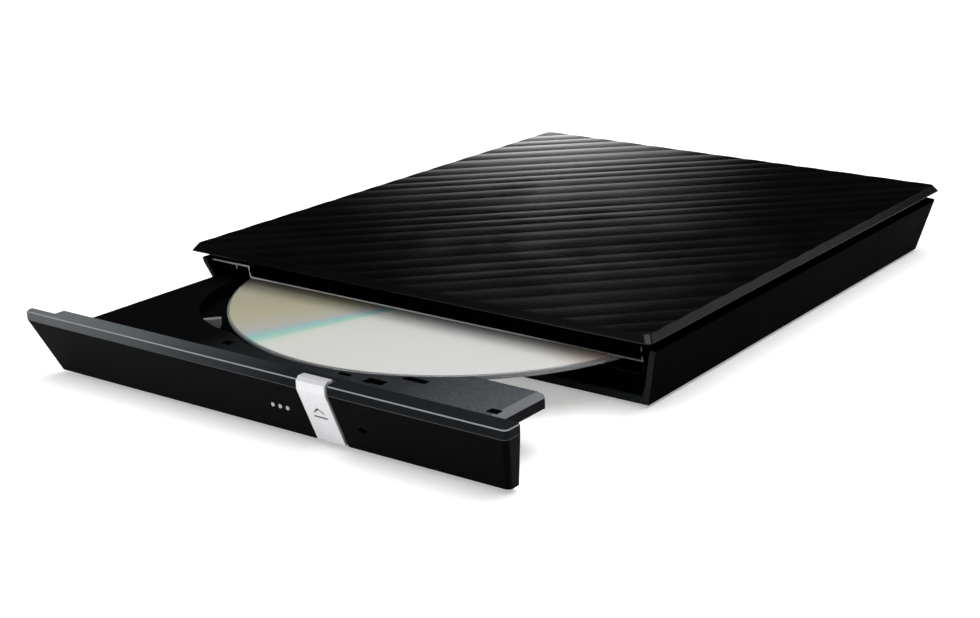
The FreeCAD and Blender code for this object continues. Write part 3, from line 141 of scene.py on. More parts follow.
world = bpy.data.worlds.new("dim studio room")
world.use_nodes = True
bpy.context.scene.world = world
tree = world.node_tree
sky = add(tree, "ShaderNodeTexCoord", {})
split = add(tree, "ShaderNodeSeparateXYZ", {0: sky.outputs["Generated"]})
rightward = 0.12
tilt = add(tree, "ShaderNodeMath", {0: split.outputs["X"], 1: rightward, 2: split.outputs["Z"]},
           operation="MULTIPLY_ADD")
walls = add(tree, "ShaderNodeValToRGB", {"Fac": tilt.outputs[0]},
            stops=[(0.0, "#2d2e31"), (0.22, "#131416"), (0.36, "#17181a"), (0.6, "#727376")])
walls.color_ramp.interpolation = "EASE"
wire(tree.nodes["Background"], {"Color": walls.outputs["Color"], "Strength": 1.0})


def lamp(name, place, aim, width, height, watts, soft=False):
    light = bpy.data.lights.new(name, "AREA")
    light.shape = "RECTANGLE"
    light.size, light.size_y, light.energy = width, height, watts
    holder = bpy.data.objects.new(name, light)
    holder.location = place
    holder.rotation_euler = (Vector(aim) - Vector(place)).to_track_quat("-Z", "Y").to_euler()
    holder.visible_camera = False
    bpy.context.scene.collection.objects.link(holder)
    if soft:
        light.use_nodes = True
        tree = light.node_tree
        sheet = add(tree, "ShaderNodeNewGeometry", {})
        centred = add(tree, "ShaderNodeMapping", {"Vector": sheet.outputs["Parametric"],
                                                  "Location": (-1, -1, 0), "Scale": (2, 2, 0)})
        fade = add(tree, "ShaderNodeTexGradient", {0: centred.outputs[0]},
                   gradient_type="QUADRATIC_SPHERE")
        wire(tree.nodes["Emission"], {"Strength": fade.outputs["Fac"]})


lamp("overhead_softbox", (0.25, -0.05, 1.3), (0, 0, 0), 1.5, 1.5, 24)
lamp("front_softbox", (-0.5, -1.2, 0.55), (0, 0, 0), 0.6, 0.6, 6)
lamp("rear_card", (0.61, 1.33, 0.77), (0.07, 0.02, 0.02), 0.8, 0.6, 1.3)
lamp("strip_light", (-0.152, 0.222, 0.042), (-0.06, 0.09, 0.03), 0.22, 0.07, 0.19, soft=True)


# Base shell: the lower half of the case, moulded in satin black ABS. The front faces round its
# mouth carry a painted highlight, lighter grey where light from the front catches them. The photo
# shows the black plastics with almost no reflections, so their index is well under the 1.53 of
# real ABS.
noise_low, noise_high = 0.3, 0.7


def mottled(name, colour, other, patch, detail, distortion=0.0):
    material, tree, shader, place = new_material(name)
    clouds = add(tree, "ShaderNodeTexNoise", {"Vector": place, "Scale": 1000 / patch, "Detail": detail,
                                              "Distortion": distortion})
    tone = add(tree, "ShaderNodeMix", {0: clouds.outputs[0], 6: linear(colour), 7: linear(other)},
               data_type="RGBA")
    wire(shader, {"Base Color": tone.outputs[2]})
    return material, tree, shader, place, clouds


# Grain, relief and edge radius are in millimetres.
def moulded_plastic(name, colour, scuffed, ior, roughness, grain, relief, edge):
    material, tree, shader, place, clouds = mottled(name, colour, scuffed, 22, 4.0)
    shine = add(tree, "ShaderNodeMapRange", {0: clouds.outputs[0], 1: noise_low, 2: noise_high,
                                             3: roughness, 4: roughness * 1.25})
    texture = add(tree, "ShaderNodeTexNoise", {"Vector": place, "Scale": 1000 / grain, "Detail": 2.0})
    rounded = add(tree, "ShaderNodeBevel", {"Radius": edge / 1000}, samples=4)
    bump = add(tree, "ShaderNodeBump", {"Height": texture.outputs[0], "Distance": relief / 1000,
                                        "Normal": rounded.outputs[0]})
    wire(shader, {"Roughness": shine.outputs[0], "Normal": bump.outputs[0], "IOR": ior})
    return material


def reopened(material):
    tree = material.node_tree
    shader = tree.nodes["Principled BSDF"]
    plain = shader.inputs["Base Color"].links[0].from_socket
    place = tree.nodes["Texture Coordinate"].outputs["Object"]
    parts = add(tree, "ShaderNodeSeparateXYZ", {0: place})
    return tree, shader, plain, place, parts


def finish(material, *names):
    for name in names:
        for slot in nodes[name].material_slots:
            slot.material = material


satin_look = ("#010101", "#020202", 1.02, 0.34, 0.5, 0.004, 0.3)
satin_black_abs = moulded_plastic("satin black ABS", *satin_look)

lit_mouth_black_abs = moulded_plastic("satin black ABS with painted highlight on mouth", *satin_look)
tree, shader, plain, _, parts = reopened(lit_mouth_black_abs)
# Painted highlight: the front-facing faces of the mouth's wall ends and sill are given #232627.
surface = add(tree, "ShaderNodeNewGeometry", {})
facing = add(tree, "ShaderNodeSeparateXYZ", {0: surface.outputs["Normal"]})
lit_front = add(tree, "ShaderNodeMapRange", {0: facing.outputs["Y"], 1: -0.8, 2: -0.9})
base_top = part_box("base_shell")[1]
wall_lean = 4.6 / 15.0
wall_rim, sill_top = 0.0021, 0.0030
wall_foot = base_top[0] - wall_lean * base_top[2]
aside = add(tree, "ShaderNodeMath", {0: parts.outputs["X"]}, operation="ABSOLUTE")
upright = add(tree, "ShaderNodeMath", {0: parts.outputs["Z"], 1: -wall_lean, 2: aside.outputs[0]},
              operation="MULTIPLY_ADD")
wall_end = add(tree, "ShaderNodeMath", {0: upright.outputs[0], 1: wall_foot - wall_rim},
               operation="GREATER_THAN")
sill = add(tree, "ShaderNodeMath", {0: parts.outputs["Z"], 1: sill_top}, operation="LESS_THAN")
rim = add(tree, "ShaderNodeMath", {0: wall_end.outputs[0], 1: sill.outputs[0]}, operation="MAXIMUM")
where = add(tree, "ShaderNodeMath", {0: rim.outputs[0], 1: lit_front.outputs[0]}, operation="MULTIPLY")
tone = add(tree, "ShaderNodeMix", {0: where.outputs[0], 6: plain, 7: linear("#232627")},
           data_type="RGBA")
wire(shader, {"Base Color": tone.outputs[2]})
finish(lit_mouth_black_abs, "base_shell")

# Feet: four pads of black rubber, compression moulded and pressed into shallow recesses in the
# base. The rubber is dull, with a slight bloom and a coarse skin.
black_rubber, tree, shader, place, _ = mottled("moulded black rubber", "#0d0d0d", "#232322", 6, 5.0)
skin = add(tree, "ShaderNodeTexNoise", {"Vector": place, "Scale": 1000 / 0.7, "Detail": 3.0})
bump = add(tree, "ShaderNodeBump", {"Height": skin.outputs[0], "Distance": 0.00006})
wire(shader, {"Normal": bump.outputs[0], "Roughness": 0.82, "IOR": 1.5})
finish(black_rubber, "front_left_foot", "front_right_foot", "rear_left_foot", "rear_right_foot")

# Bridge board: a 1.6 mm glass-epoxy board behind the drive, with green solder mask over copper
# tracks. The tracks show through as lighter lines about 0.25 mm wide, drawn at 0.5 mm here.
green_board, tree, shader, place = new_material("green solder mask on glass epoxy")
track_pitch, fill_size, weave_pitch = 1.3, 9, 0.8
runs = add(tree, "ShaderNodeTexBrick", {"Vector": place, "Color1": (0, 0, 0, 1),
                                        "Color2": (0.25, 0.25, 0.25, 1), "Mortar": (1, 1, 1, 1),
                                        "Scale": 1000 / track_pitch, "Mortar Size": 0.16,
                                        "Mortar Smooth": 0.2, "Brick Width": 4.0,
                                        "Row Height": 0.8}, offset=0.37)
fills = add(tree, "ShaderNodeTexVoronoi", {"Vector": place, "Scale": 1000 / fill_size},
            distance="CHEBYCHEV")
where = add(tree, "ShaderNodeMath", {0: fills.outputs[0], 1: 0.42}, operation="GREATER_THAN")
copper = add(tree, "ShaderNodeMath", {0: runs.outputs["Fac"], 1: where.outputs[0]},
             operation="MULTIPLY")
tone = add(tree, "ShaderNodeMix", {0: copper.outputs[0], 6: linear("#0c3b1f"), 7: linear("#2a7a45")},
           data_type="RGBA")
weave = add(tree, "ShaderNodeTexNoise", {"Vector": place, "Scale": 1000 / weave_pitch, "Detail": 1.0})
height = add(tree, "ShaderNodeMath", {0: copper.outputs[0], 1: 0.6, 2: weave.outputs[0]},
             operation="MULTIPLY_ADD")
bump = add(tree, "ShaderNodeBump", {"Height": height.outputs[0], "Distance": 0.00003})
wire(shader, {"Base Color": tone.outputs[2], "Normal": bump.outputs[0], "Roughness": 0.28,
              "IOR": 1.55})
finish(green_board, "bridge_board", "main_board", "front_board")

# Chips on the boards: bodies of black filled epoxy, transfer moulded. The filler gives a dull
# charcoal face with a fine sandy grain.
moulded_epoxy = moulded_plastic("filled black epoxy", "#15161a", "#22242a", 1.5, 0.5, 0.2, 0.01, 0.08)
finish(moulded_epoxy, "bridge_chips", "main_board_chips")


# Capacitors: small aluminium cans, deep drawn. The draw marks run round the can and leave a
# bright metal with a slightly brushed shine. Marks and relief are in millimetres.
def worked_metal(name, colour, marks, detail, shine, relief):
    material, tree, shader, place = new_material(name)
    stretch = add(tree, "ShaderNodeMapping", {"Vector": place, "Scale": [1000 / mark for mark in marks]})
    lines = add(tree, "ShaderNodeTexNoise", {"Vector": stretch.outputs[0], "Scale": 1.0,
                                             "Detail": detail})
    gloss = add(tree, "ShaderNodeMapRange", {0: lines.outputs[0], 1: noise_low, 2: noise_high,
                                             3: shine[0], 4: shine[1]})
    bump = add(tree, "ShaderNodeBump", {"Height": lines.outputs[0], "Distance": relief / 1000})
    wire(shader, {"Base Color": linear(colour), "Metallic": 1.0, "Roughness": gloss.outputs[0],
                  "Normal": bump.outputs[0]})
    return material


drawn_aluminium = worked_metal("deep-drawn aluminium", "#d5d6d8", (5, 5, 0.25), 3.0, (0.22, 0.42), 0.01)
finish(drawn_aluminium, "bridge_capacitors")

# Connectors: glass-filled nylon in black, moulded around the contacts. It is duller and a little
# greyer than the case.
glass_filled_nylon = moulded_plastic("glass-filled black nylon", "#101113", "#1b1c1f",
                                     1.5, 0.48, 0.3, 0.012, 0.1)
finish(glass_filled_nylon, "board_connector", "drive_connector", "eject_switch")


# USB socket at the rear: a mini-B shell folded from tin-plated steel strip. The plating is
# bright, with faint rolling lines along the strip. Lines, relief and edge are in millimetres.
def sheet_metal(name, colour, stained, roughness, lines, relief, edge):
    material, tree, shader, place = new_material(name)
    along, spangle_size = 40, 5.0
    stretch = add(tree, "ShaderNodeMapping", {"Vector": place,
                                              "Scale": (1000 / lines, 1000 / along, 1000 / along)})
    rolling = add(tree, "ShaderNodeTexNoise", {"Vector": stretch.outputs[0], "Scale": 1.0,
                                               "Detail": 4.0})
    spangle = add(tree, "ShaderNodeTexVoronoi", {"Vector": place, "Scale": 1000 / spangle_size})
    tone = add(tree, "ShaderNodeMix", {0: spangle.outputs["Color"], 6: linear(colour),
                                       7: linear(stained)}, data_type="RGBA")
    shine = add(tree, "ShaderNodeMapRange", {0: rolling.outputs[0], 1: noise_low, 2: noise_high,
                                             3: roughness, 4: roughness * 1.5})
    rounded = add(tree, "ShaderNodeBevel", {"Radius": edge / 1000}, samples=4)
    bump = add(tree, "ShaderNodeBump", {"Height": rolling.outputs[0], "Distance": relief / 1000,
                                        "Normal": rounded.outputs[0]})
    wire(shader, {"Base Color": tone.outputs[2], "Roughness": shine.outputs[0],
                  "Normal": bump.outputs[0], "Metallic": 1.0})
    return material


tinned_steel = sheet_metal("tin-plated steel strip", "#c9cbcd", "#bcbfc2", 0.22, 0.4, 0.003, 0.08)
finish(tinned_steel, "usb_socket")

# Drive chassis: the slim drive's lower pan, pressed from galvanised sheet steel. The zinc shows
# as large pale spangles with a soft sheen. Its front strip is near-black painted shade, so that
# the slot is dark.
zinc_look = ("#9b9d9f", "#8b8e91", 0.34, 0.6, 0.004, 0.12)
galvanised_steel = sheet_metal("galvanised sheet steel", *zinc_look)
finish(galvanised_steel, "tray_cover")

front_shaded_steel = sheet_metal("galvanised sheet steel with painted shade at its front", *zinc_look)
tree, shader, plain, _, parts = reopened(front_shaded_steel)
# Painted shade: the chassis's front strip, seen through the slot, is given near-black #050505.
chassis_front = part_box("drive_chassis")[0][1]
unshaded_back = add(tree, "ShaderNodeMapRange", {0: parts.outputs["Y"], 1: chassis_front + 0.009,
                                        2: chassis_front + 0.011})
tone = add(tree, "ShaderNodeMix", {0: unshaded_back.outputs[0], 6: linear("#050505"), 7: plain},
           data_type="RGBA")
wire(shader, {"Base Color": tone.outputs[2]})
finish(front_shaded_steel, "drive_chassis")

# Rail guides: two channels moulded in black acetal, screwed to the chassis sides. Acetal is a
# slippery, slightly waxy plastic, so it shines broadly without a sharp reflection.
black_acetal = moulded_plastic("black acetal", "#0b0b0d", "#141416", 1.4, 0.34, 0.8, 0.004, 0.15)
finish(black_acetal, "left_rail_guide", "right_rail_guide", "ejector_housing", "lens_holder",
       "follower_arm")

# Rails: telescopic strips of stainless steel that run at half the tray's travel. They are roll
# formed and polished by wear along their length.
rail_steel = worked_metal("roll-formed stainless steel", "#a7a8aa", (0.4, 1000 / 30, 0.4), 3.0,
                          (0.2, 0.36), 0.004)
finish(rail_steel, "left_rail", "right_rail", "latch_post")


# Disc tray: one moulding in dark grey ABS that carries the whole mechanism. Its top is grained
# against scratches and almost black; along the front and flap it carries a painted sheen that greys
# from left to right, with fine sparkle from the grain. Tones that change from left to right are
# given by their place in millimetres.
def tones_across(tree, parts, tones):
    left, right = tones[0][0], tones[-1][0]
    across = add(tree, "ShaderNodeMapRange", {0: parts.outputs["X"], 1: left / 1000, 2: right / 1000})
    stops = [((x - left) / (right - left), colour) for x, colour in tones]
    return add(tree, "ShaderNodeValToRGB", {"Fac": across.outputs[0]}, stops=stops)


tray_low, tray_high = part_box("disc_tray")
disc_low, disc_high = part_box("disc")
disc_x, disc_y = (disc_low[0] + disc_high[0]) / 2, (disc_low[1] + disc_high[1]) / 2
tray_abs = moulded_plastic("grained dark grey ABS", "#030303", "#050506", 1.1, 0.42, 0.45, 0.02, 0.35)
tree, shader, plain, place, parts = reopened(tray_abs)
# Painted sheen: the upward faces of the front strip and flap turn greyer to the right, where a lamp
# behind catches them.
painted_sheen = tones_across(tree, parts, [(-30, "#040404"), (-18, "#17181a"), (2, "#1e2021"),
                                    (30, "#2b2d2f"), (36, "#383b3d"), (47, "#424548"),
                                    (58, "#4c5053")])
surface = add(tree, "ShaderNodeNewGeometry", {})
facing = add(tree, "ShaderNodeSeparateXYZ", {0: surface.outputs["Normal"]})
upward = add(tree, "ShaderNodeMapRange", {0: facing.outputs["Z"], 1: 0.85, 2: 0.95})
lit_front = add(tree, "ShaderNodeMapRange", {0: parts.outputs["Y"], 1: tray_low[1] + 0.034,
                                             2: tray_low[1] + 0.028})
where = add(tree, "ShaderNodeMath", {0: upward.outputs[0], 1: lit_front.outputs[0]},
            operation="MULTIPLY")
sparkle = add(tree, "ShaderNodeTexNoise", {"Vector": place, "Scale": 1000 / 0.45, "Detail": 1.0})
lift = add(tree, "ShaderNodeMapRange", {0: sparkle.outputs[0], 1: noise_low, 2: noise_high,
                                        3: 0.7, 4: 1.3})
grained = add(tree, "ShaderNodeVectorMath", {0: painted_sheen.outputs["Color"], "Scale": lift.outputs[0]},
              operation="SCALE")
flat = add(tree, "ShaderNodeMix", {0: where.outputs[0], 6: plain, 7: grained.outputs[0]},
           data_type="RGBA")
# Painted highlight: the flap's sloped bevel is given light grey #696c6f.
bevel_normal, bevel_spread = 0.977, 0.008
sloped = add(tree, "ShaderNodeMath", {0: facing.outputs["Z"], 1: bevel_normal, 2: bevel_spread},
             operation="COMPARE")
bevel_highlight = add(tree, "ShaderNodeMix", {0: sloped.outputs[0], 6: flat.outputs[2],
                                       7: linear("#696c6f")}, data_type="RGBA")
# Painted glint: the finger recess's rib is given light grey #6f7173 where it catches the light.
rib_centre = (disc_x - 0.0410, disc_y - 0.04965, tray_high[2] - 0.0012)
rib_reach, rib_top = 0.0030, tray_high[2] - 0.0002
rib_gap = add(tree, "ShaderNodeVectorMath", {0: place, 1: rib_centre}, operation="DISTANCE")
rib = add(tree, "ShaderNodeMath", {0: rib_gap.outputs["Value"], 1: rib_reach}, operation="LESS_THAN")
low = add(tree, "ShaderNodeMath", {0: parts.outputs["Z"], 1: rib_top}, operation="LESS_THAN")
painted_glint = add(tree, "ShaderNodeMath", {0: rib.outputs[0], 1: low.outputs[0]}, operation="MULTIPLY")
tone = add(tree, "ShaderNodeMix", {0: painted_glint.outputs[0], 6: bevel_highlight.outputs[2],
                                   7: linear("#6f7173")}, data_type="RGBA")
wire(shader, {"Base Color": tone.outputs[2]})
finish(tray_abs, "disc_tray")

# Switch lamps and their light pipes: three clear diodes on the front board behind three rods of
# milky acrylic, which end flush in the bezel and show as white dots.
milky_acrylic, _, shader, *_ = mottled("milky acrylic", "#b4b6b7", "#c6c8c9", 1.5, 2.0)
wire(shader, {"Roughness": 0.18, "IOR": 1.49, "Transmission Weight": 0.15})
finish(milky_acrylic, "lamp_pipes")

lamp_resin, _, shader, *_ = mottled("amber phosphor resin", "#c9b23a", "#e6d77a", 0.3, 3.0)
wire(shader, {"Roughness": 0.25, "IOR": 1.52})
finish(lamp_resin, "lamp_chips")

# Traverse frame: the pickup's carrier, die cast in zinc alloy and hung on three rubber dampers.
# The casting skin is pale grey, finely pitted, and brighter where it was machined.
cast_zinc, tree, shader, place, flow = mottled("die-cast zinc alloy", "#85888a", "#a5a7a8", 8, 6.0)
pits = add(tree, "ShaderNodeTexNoise", {"Vector": place, "Scale": 1000 / 0.4, "Detail": 4.0})
rounded = add(tree, "ShaderNodeBevel", {"Radius": 0.0002}, samples=4)
bump = add(tree, "ShaderNodeBump", {"Height": pits.outputs[0], "Distance": 0.00003,
                                    "Normal": rounded.outputs[0]})
shine = add(tree, "ShaderNodeMapRange", {0: flow.outputs[0], 1: noise_low, 2: noise_high,
                                         3: 0.38, 4: 0.6})
wire(shader, {"Roughness": shine.outputs[0], "Normal": bump.outputs[0], "Metallic": 1.0})
finish(cast_zinc, "traverse_frame", "motor_base", "pickup_sled")
finish(black_rubber, "dampers", "turntable_pad")

# Spindle motor: a stator of varnished copper coils under a plated steel rotor cup, with a white
# acetal hub whose clips hold the disc.
varnished_copper, tree, shader, place = new_material("varnished copper wire")
windings = add(tree, "ShaderNodeTexWave", {"Vector": place, "Scale": 1000 / 6.0, "Distortion": 0.6},
               wave_type="BANDS", bands_direction="DIAGONAL")
tone = add(tree, "ShaderNodeMix", {0: windings.outputs["Fac"], 6: linear("#6d3313"),
                                   7: linear("#c9743a")}, data_type="RGBA")
bump = add(tree, "ShaderNodeBump", {"Height": windings.outputs["Fac"], "Distance": 0.00008})
wire(shader, {"Base Color": tone.outputs[2], "Normal": bump.outputs[0], "Metallic": 1.0,
              "Roughness": 0.3})
finish(varnished_copper, "stator")

nickel_plate = worked_metal("nickel-plated turned steel", "#b9b7b3", (0.6, 0.6, 0.6), 2.0,
                            (0.14, 0.26), 0.003)
finish(nickel_plate, "rotor", "guide_rods", "lead_screw", "latch_pin", "ejector_spring",
       "ejector_plunger", "stepper_motor")

white_acetal = moulded_plastic("white acetal", "#d9d9d4", "#e4e4e0", 1.48, 0.32, 0.8, 0.004, 0.15)
finish(white_acetal, "disc_hub", "latch_lever")

# Pickup: the lens holder floats between two magnets on a steel yoke, with a laser unit beside it.
# The lens is coated glass, which looks faintly violet.
finish(rail_steel, "actuator_frame", "laser_unit")

sintered_magnet = worked_metal("nickel-plated sintered magnet", "#77777a", (0.5, 0.5, 0.5), 3.0,
                               (0.3, 0.5), 0.008)
finish(sintered_magnet, "actuator_magnets", "latch_magnet")

coated_glass, _, shader, *_ = mottled("coated optical glass", "#5b4b9c", "#4a6fa8", 3.0, 1.0)
wire(shader, {"Roughness": 0.03, "IOR": 1.6, "Transmission Weight": 0.7})
finish(coated_glass, "objective_lens")

# Small screws: machine screws with flat heads in black-zinc steel. The passivated zinc is nearly
# black with an oily shine.
black_zinc, _, shader, *_ = mottled("black-passivated zinc steel", "#2a2b2e", "#48494d", 2.0, 4.0)
wire(shader, {"Metallic": 1.0, "Roughness": 0.34})
finish(black_zinc, "board_screws", "damper_screws", "drive_screws", "cover_screws", "case_screws")

# Tray bezel: the front bar that closes the slot, moulded in black ABS from a polished mould, so
# it is glossier than the case. The satin strip along its top carries a painted reflection, greyer
# at the left and darker to the right, and two painted highlight lines along its edges.
gloss_black_abs = mottled("polished black ABS with satin band and painted reflection", "#020202", "#040405", 14, 3.0)[0]
tree, shader, plain, place, parts = reopened(gloss_black_abs)
bezel_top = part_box("tray_bezel")[1][2]
band_height, blur = 0.0024, 0.0001
band = add(tree, "ShaderNodeMapRange", {0: parts.outputs["Z"], 1: bezel_top - band_height,
                                        2: bezel_top - band_height + blur})
# Painted reflection: the band is greyer at the left and darker to the right.
painted_band_reflection = tones_across(tree, parts, [(-60, "#5f6365"), (-36, "#505456"), (-17, "#3a3d3f"),
                                     (1, "#292c2e"), (12, "#1b1d1f")])
tone = add(tree, "ShaderNodeMix", {0: band.outputs[0], 6: plain, 7: painted_band_reflection.outputs["Color"]},
           data_type="RGBA")
# Painted highlights: thin light lines on the top chamfer's edge and the band's lower edge.
for below_top, half_width, colour in ((0.00030, 0.00012, "#86898a"), (0.00232, 0.00010, "#494b4d")):
    edge = add(tree, "ShaderNodeMath", {0: parts.outputs["Z"], 1: bezel_top - below_top, 2: half_width},
               operation="COMPARE")
    tone = add(tree, "ShaderNodeMix", {0: edge.outputs[0], 6: tone.outputs[2], 7: linear(colour)},
               data_type="RGBA")
shine = add(tree, "ShaderNodeMapRange", {0: band.outputs[0], 3: 0.2, 4: 0.38})
texture = add(tree, "ShaderNodeTexNoise", {"Vector": place, "Scale": 1000 / 0.5, "Detail": 2.0})
rounded = add(tree, "ShaderNodeBevel", {"Radius": 0.0003}, samples=4)
bump = add(tree, "ShaderNodeBump", {"Height": texture.outputs[0], "Distance": 0.000002,
                                    "Normal": rounded.outputs[0]})
wire(shader, {"Base Color": tone.outputs[2], "Roughness": shine.outputs[0],
              "Normal": bump.outputs[0], "IOR": 1.05})
finish(gloss_black_abs, "tray_bezel")

# Eject button: a strip that wraps over the bezel's top edge, moulded in ABS and sprayed with
# silver lacquer. The flakes, 0.05 mm in the real paint, are drawn at 0.2 mm; the engraved mark
# is darkened with painted shade in its groove.
silver_lacquer, tree, shader, place = new_material("silver lacquer on ABS")
flakes = add(tree, "ShaderNodeTexVoronoi", {"Vector": place, "Scale": 1000 / 0.2})
silver = add(tree, "ShaderNodeMix", {0: flakes.outputs["Color"], 6: linear("#d6d7d9"),
                                     7: linear("#e9e9ea")}, data_type="RGBA")
rounded = add(tree, "ShaderNodeBevel", {"Radius": 0.0003}, samples=4)
bump = add(tree, "ShaderNodeBump", {"Height": flakes.outputs["Distance"], "Distance": 0.000004,
                                    "Normal": rounded.outputs[0]})
parts = add(tree, "ShaderNodeSeparateXYZ", {0: place})
button_low, button_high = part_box("eject_button")
face_slope, band_foot = 0.403, bezel_top - band_height + blur
mark_half_width, mark_half_height, mark_height = 0.0021, 0.0015, button_low[2] + 0.0078
depth = add(tree, "ShaderNodeMath", {0: parts.outputs["Z"], 1: face_slope, 2: parts.outputs["Y"]},
            operation="MULTIPLY_ADD")
face = button_low[1] + face_slope * band_foot
sunk = add(tree, "ShaderNodeMapRange", {0: depth.outputs[0], 1: face + 0.00010, 2: face + 0.00018})
aside = add(tree, "ShaderNodeMath", {0: parts.outputs["X"], 1: (button_low[0] + button_high[0]) / 2,
                                     2: mark_half_width}, operation="COMPARE")
high = add(tree, "ShaderNodeMath", {0: parts.outputs["Z"], 1: mark_height, 2: mark_half_height},
           operation="COMPARE")
near_mark = add(tree, "ShaderNodeMath", {0: aside.outputs[0], 1: high.outputs[0]},
                operation="MULTIPLY")
mark = add(tree, "ShaderNodeMath", {0: near_mark.outputs[0], 1: sunk.outputs[0]},
           operation="MULTIPLY")
# Painted shade: the engraved mark's groove is given dark grey #3f4042.
mark_shade = add(tree, "ShaderNodeMix", {0: mark.outputs[0], 6: silver.outputs[2], 7: linear("#3f4042")},
            data_type="RGBA")
wire(shader, {"Base Color": mark_shade.outputs[2], "Normal": bump.outputs[0], "Metallic": 0.45,
              "Roughness": 0.36})
finish(silver_lacquer, "eject_button")

# Drive cover: the slim drive's lid, pressed from the same galvanised sheet with a round swell
# over the disc.
finish(galvanised_steel, "drive_cover")

# Middle frame: the recessed collar between base and lid, moulded in the same satin black ABS.
# The lid is pressed onto it, and its front bar closes the slot's upper side.
finish(satin_black_abs, "middle_frame")


# Slot lip highlight: a 0.5 mm bead along the lower edge of the collar's front bar, coloured as a
# painted highlight where that edge catches the light, brightest near the left end and darker to the
# right. It follows the step at the left, where a small tooth hangs under it, and turns up at the right.
lid_side = 1000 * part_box("top_cover")[1][0]
collar_front = 1000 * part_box("middle_frame")[0][1]


def highlight_bead_tubes(shape):
    end, step, tooth = lid_side - 4.4, 17.2 - lid_side, 12.9 - lid_side
    neck_face, bar_face = collar_front + 0.05, collar_front + 0.55
    neck_foot, bar_foot = 1000 * base_top[2], 1000 * disc_high[2] + 1.0
    turned_up, tooth_tip = neck_foot + 0.6, neck_foot - 1.4
    runs = [[(end, neck_face, turned_up), (end, bar_face, bar_foot), (step, bar_face, bar_foot),
             (step, neck_face, neck_foot), (-end, neck_face, neck_foot)],
            [(tooth, neck_face, neck_foot), (tooth, neck_face, tooth_tip)]]
    radius, sides, sharpest = 0.25, 10, 0.5
    forward = Vector((0, 1, 0))
    for run in runs:
        points = [Vector(point) for point in run]
        rings = []
        for i, point in enumerate(points):
            before = (point - points[max(i - 1, 0)]).normalized()
            after = (points[min(i + 1, len(points) - 1)] - point).normalized()
            along = (before + after).normalized()
            stretch = radius / max(sharpest, along.dot(after if after.length else before))
            side = along.cross(forward).normalized()
            ring = []
            for j in range(sides):
                angle = 2 * math.pi * j / sides
                offset = stretch * math.cos(angle) * side + radius * math.sin(angle) * forward
                ring.append(shape.verts.new((point + offset) / 1000))
            rings.append(ring)
        for here, there in zip(rings, rings[1:]):
            for j in range(sides):
                k = (j + 1) % sides
                shape.faces.new((here[j], here[k], there[k], there[j])).smooth = True
        shape.faces.new(rings[0])
        shape.faces.new(list(reversed(rings[-1])))


lip_highlight_paint, tree, shader, place = new_material("painted highlight on bar's lower edge")
parts = add(tree, "ShaderNodeSeparateXYZ", {0: place})
# Painted highlight: brightest near the left end of the bead and darker towards the right.
painted_glint = tones_across(tree, parts, [(-66, "#6a6b6c"), (-56, "#a2a3a4"), (-53, "#e6e6e6"),
                                  (-42, "#a8a8a9"), (30, "#9a9a9b"), (45, "#5a5b5c"),
                                  (66, "#3a3b3c")])
wire(shader, {"Base Color": painted_glint.outputs["Color"], "Roughness": 0.3, "IOR": 1.5})
highlight_bead = mesh_piece("highlight_bead", highlight_bead_tubes, lip_highlight_paint, "case")

# Lid: the case's top plate, moulded in black ABS with shallow diagonal ridges from a mirror
# polished mould, which eases their slopes. Faint hand smears only dull the gloss in patches.
piano_black_abs, tree, shader, place, smears = mottled("mirror-polished black ABS", "#010101",
                                                       "#030304", 35, 5.0, distortion=1.2)
shine = add(tree, "ShaderNodeMapRange", {0: smears.outputs[0], 1: 0.35, 2: 0.7, 3: 0.15, 4: 0.22})
rounded = add(tree, "ShaderNodeBevel", {"Radius": 0.0003}, samples=4)
upright = add(tree, "ShaderNodeSeparateXYZ", {0: rounded.outputs[0]})
easing = 0.45
on_top = add(tree, "ShaderNodeMapRange", {0: upright.outputs["Z"], 1: 0.97, 2: 0.985, 4: easing})
eased = add(tree, "ShaderNodeMix", {0: on_top.outputs[0], 4: rounded.outputs[0], 5: (0, 0, 1)},
            data_type="VECTOR")
level = add(tree, "ShaderNodeVectorMath", {0: eased.outputs[1]}, operation="NORMALIZE")
texture = add(tree, "ShaderNodeTexNoise", {"Vector": place, "Scale": 1000 / 0.6, "Detail": 1.0})
bump = add(tree, "ShaderNodeBump", {"Height": texture.outputs[0], "Distance": 0.000001,
                                    "Normal": level.outputs[0]})
wire(shader, {"Roughness": shine.outputs[0], "Normal": bump.outputs[0], "IOR": 1.3})
finish(piano_black_abs, "top_cover")
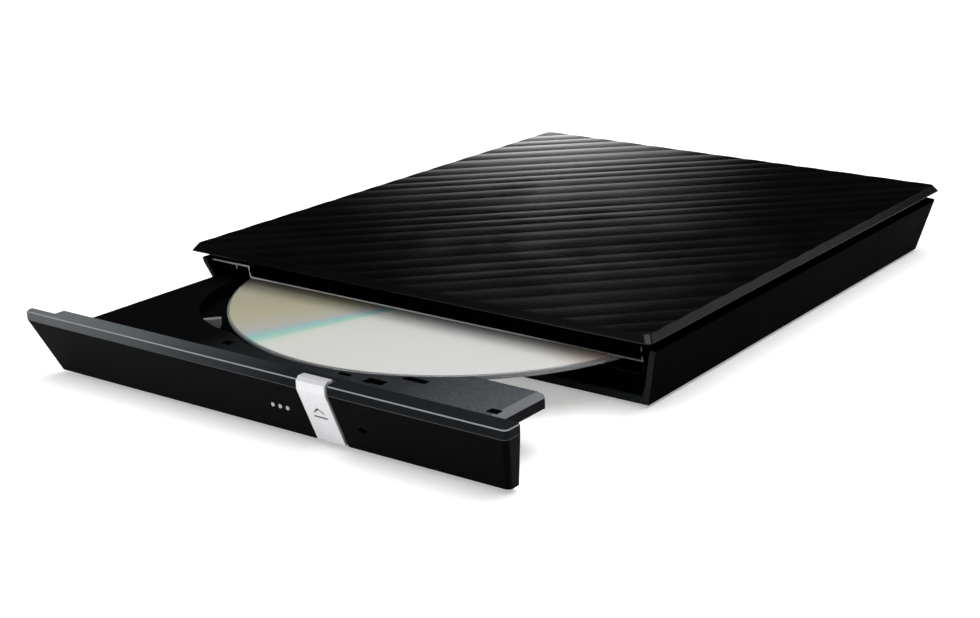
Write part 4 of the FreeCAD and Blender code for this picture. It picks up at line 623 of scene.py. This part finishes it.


# Disc: 120 mm of polycarbonate, 1.2 mm thick, moulded with a clear hub and a stacking ring, over
# a mirror layer. Its spiral grooves split light into radial streaks; these, and the darker and
# brighter sectors between them, are a painted reflection in the mirror's colour, fixed to the disc.
def disc_body(shape):
    under = [(7.5, 0.0), (7.8, -0.1), (16.4, -0.1), (16.8, -0.3), (17.6, -0.3), (18.0, 0.0),
             (20.0, 0.0), (59.4, 0.0), (59.8, 0.0), (60.0, 0.2)]
    upper = [(60.0, 1.0), (59.8, 1.2), (59.4, 1.2), (20.6, 1.2), (20.0, 1.2), (18.0, 1.2),
             (17.8, 1.0), (17.0, 1.0), (16.8, 1.2), (7.8, 1.2), (7.5, 0.9)]
    profile = under + upper
    mirror_start, mirror_end, steps = 20.0, 59.5, 240
    rings = []
    for i in range(steps):
        angle = 2 * math.pi * i / steps
        rings.append([shape.verts.new((r * math.cos(angle) / 1000, r * math.sin(angle) / 1000, z / 1000))
                      for r, z in profile])
    for i in range(steps):
        here, there = rings[i], rings[(i + 1) % steps]
        for j in range(len(profile)):
            k = (j + 1) % len(profile)
            face = shape.faces.new((here[j], there[j], there[k], here[k]))
            face.smooth = True
            radius = (profile[j][0] + profile[k][0]) / 2
            face.material_index = 0 if mirror_start < radius < mirror_end else 1


# The painted reflection's streaks are given by their angle round the disc, in degrees from +X.
mirror_disc, tree, shader, place = new_material("mirror layer under polycarbonate")
parts = add(tree, "ShaderNodeSeparateXYZ", {0: place})
angle = add(tree, "ShaderNodeMath", {0: parts.outputs["Y"], 1: parts.outputs["X"]},
            operation="ARCTAN2")
share = add(tree, "ShaderNodeMapRange", {0: angle.outputs[0], 1: -math.pi, 2: math.pi})
painted_streaks = [(-180, "#8e8e84"), (-146, "#bdb9a0"), (-130, "#c6c3a4"), (-118, "#c9c7bb"),
           (-115.5, "#bcc8cc"), (-112.5, "#a9dad4"), (-110.5, "#b4e2cc"), (-108, "#e2efe2"),
           (-105, "#edeee6"), (-60, "#f2f1ef"), (-34, "#f4f3ef"), (-20, "#e2cdb8"),
           (-12, "#b5c4b2"), (-4, "#a6b2c1"), (60, "#9b9c94"), (110, "#a9abaf"), (180, "#8e8e84")]
painted_diffraction = add(tree, "ShaderNodeValToRGB", {"Fac": share.outputs[0]},
           stops=[((degrees + 180) / 360, colour) for degrees, colour in painted_streaks])
wire(shader, {"Base Color": painted_diffraction.outputs["Color"], "Metallic": 0.25, "Roughness": 0.38,
              "Coat Weight": 0.7, "Coat Roughness": 0.05, "Coat IOR": 1.58})

clear_polycarbonate, _, shader, *_ = mottled("clear polycarbonate", "#e8edf2", "#f7f9fb", 12, 2.0)
wire(shader, {"Roughness": 0.05, "IOR": 1.58, "Transmission Weight": 0.85})

disc = mesh_piece("optical_disc", disc_body, mirror_disc, "spindle")
disc.data.materials.append(clear_polycarbonate)
disc.location = (disc_x, disc_y, disc_low[2])
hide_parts("disc")
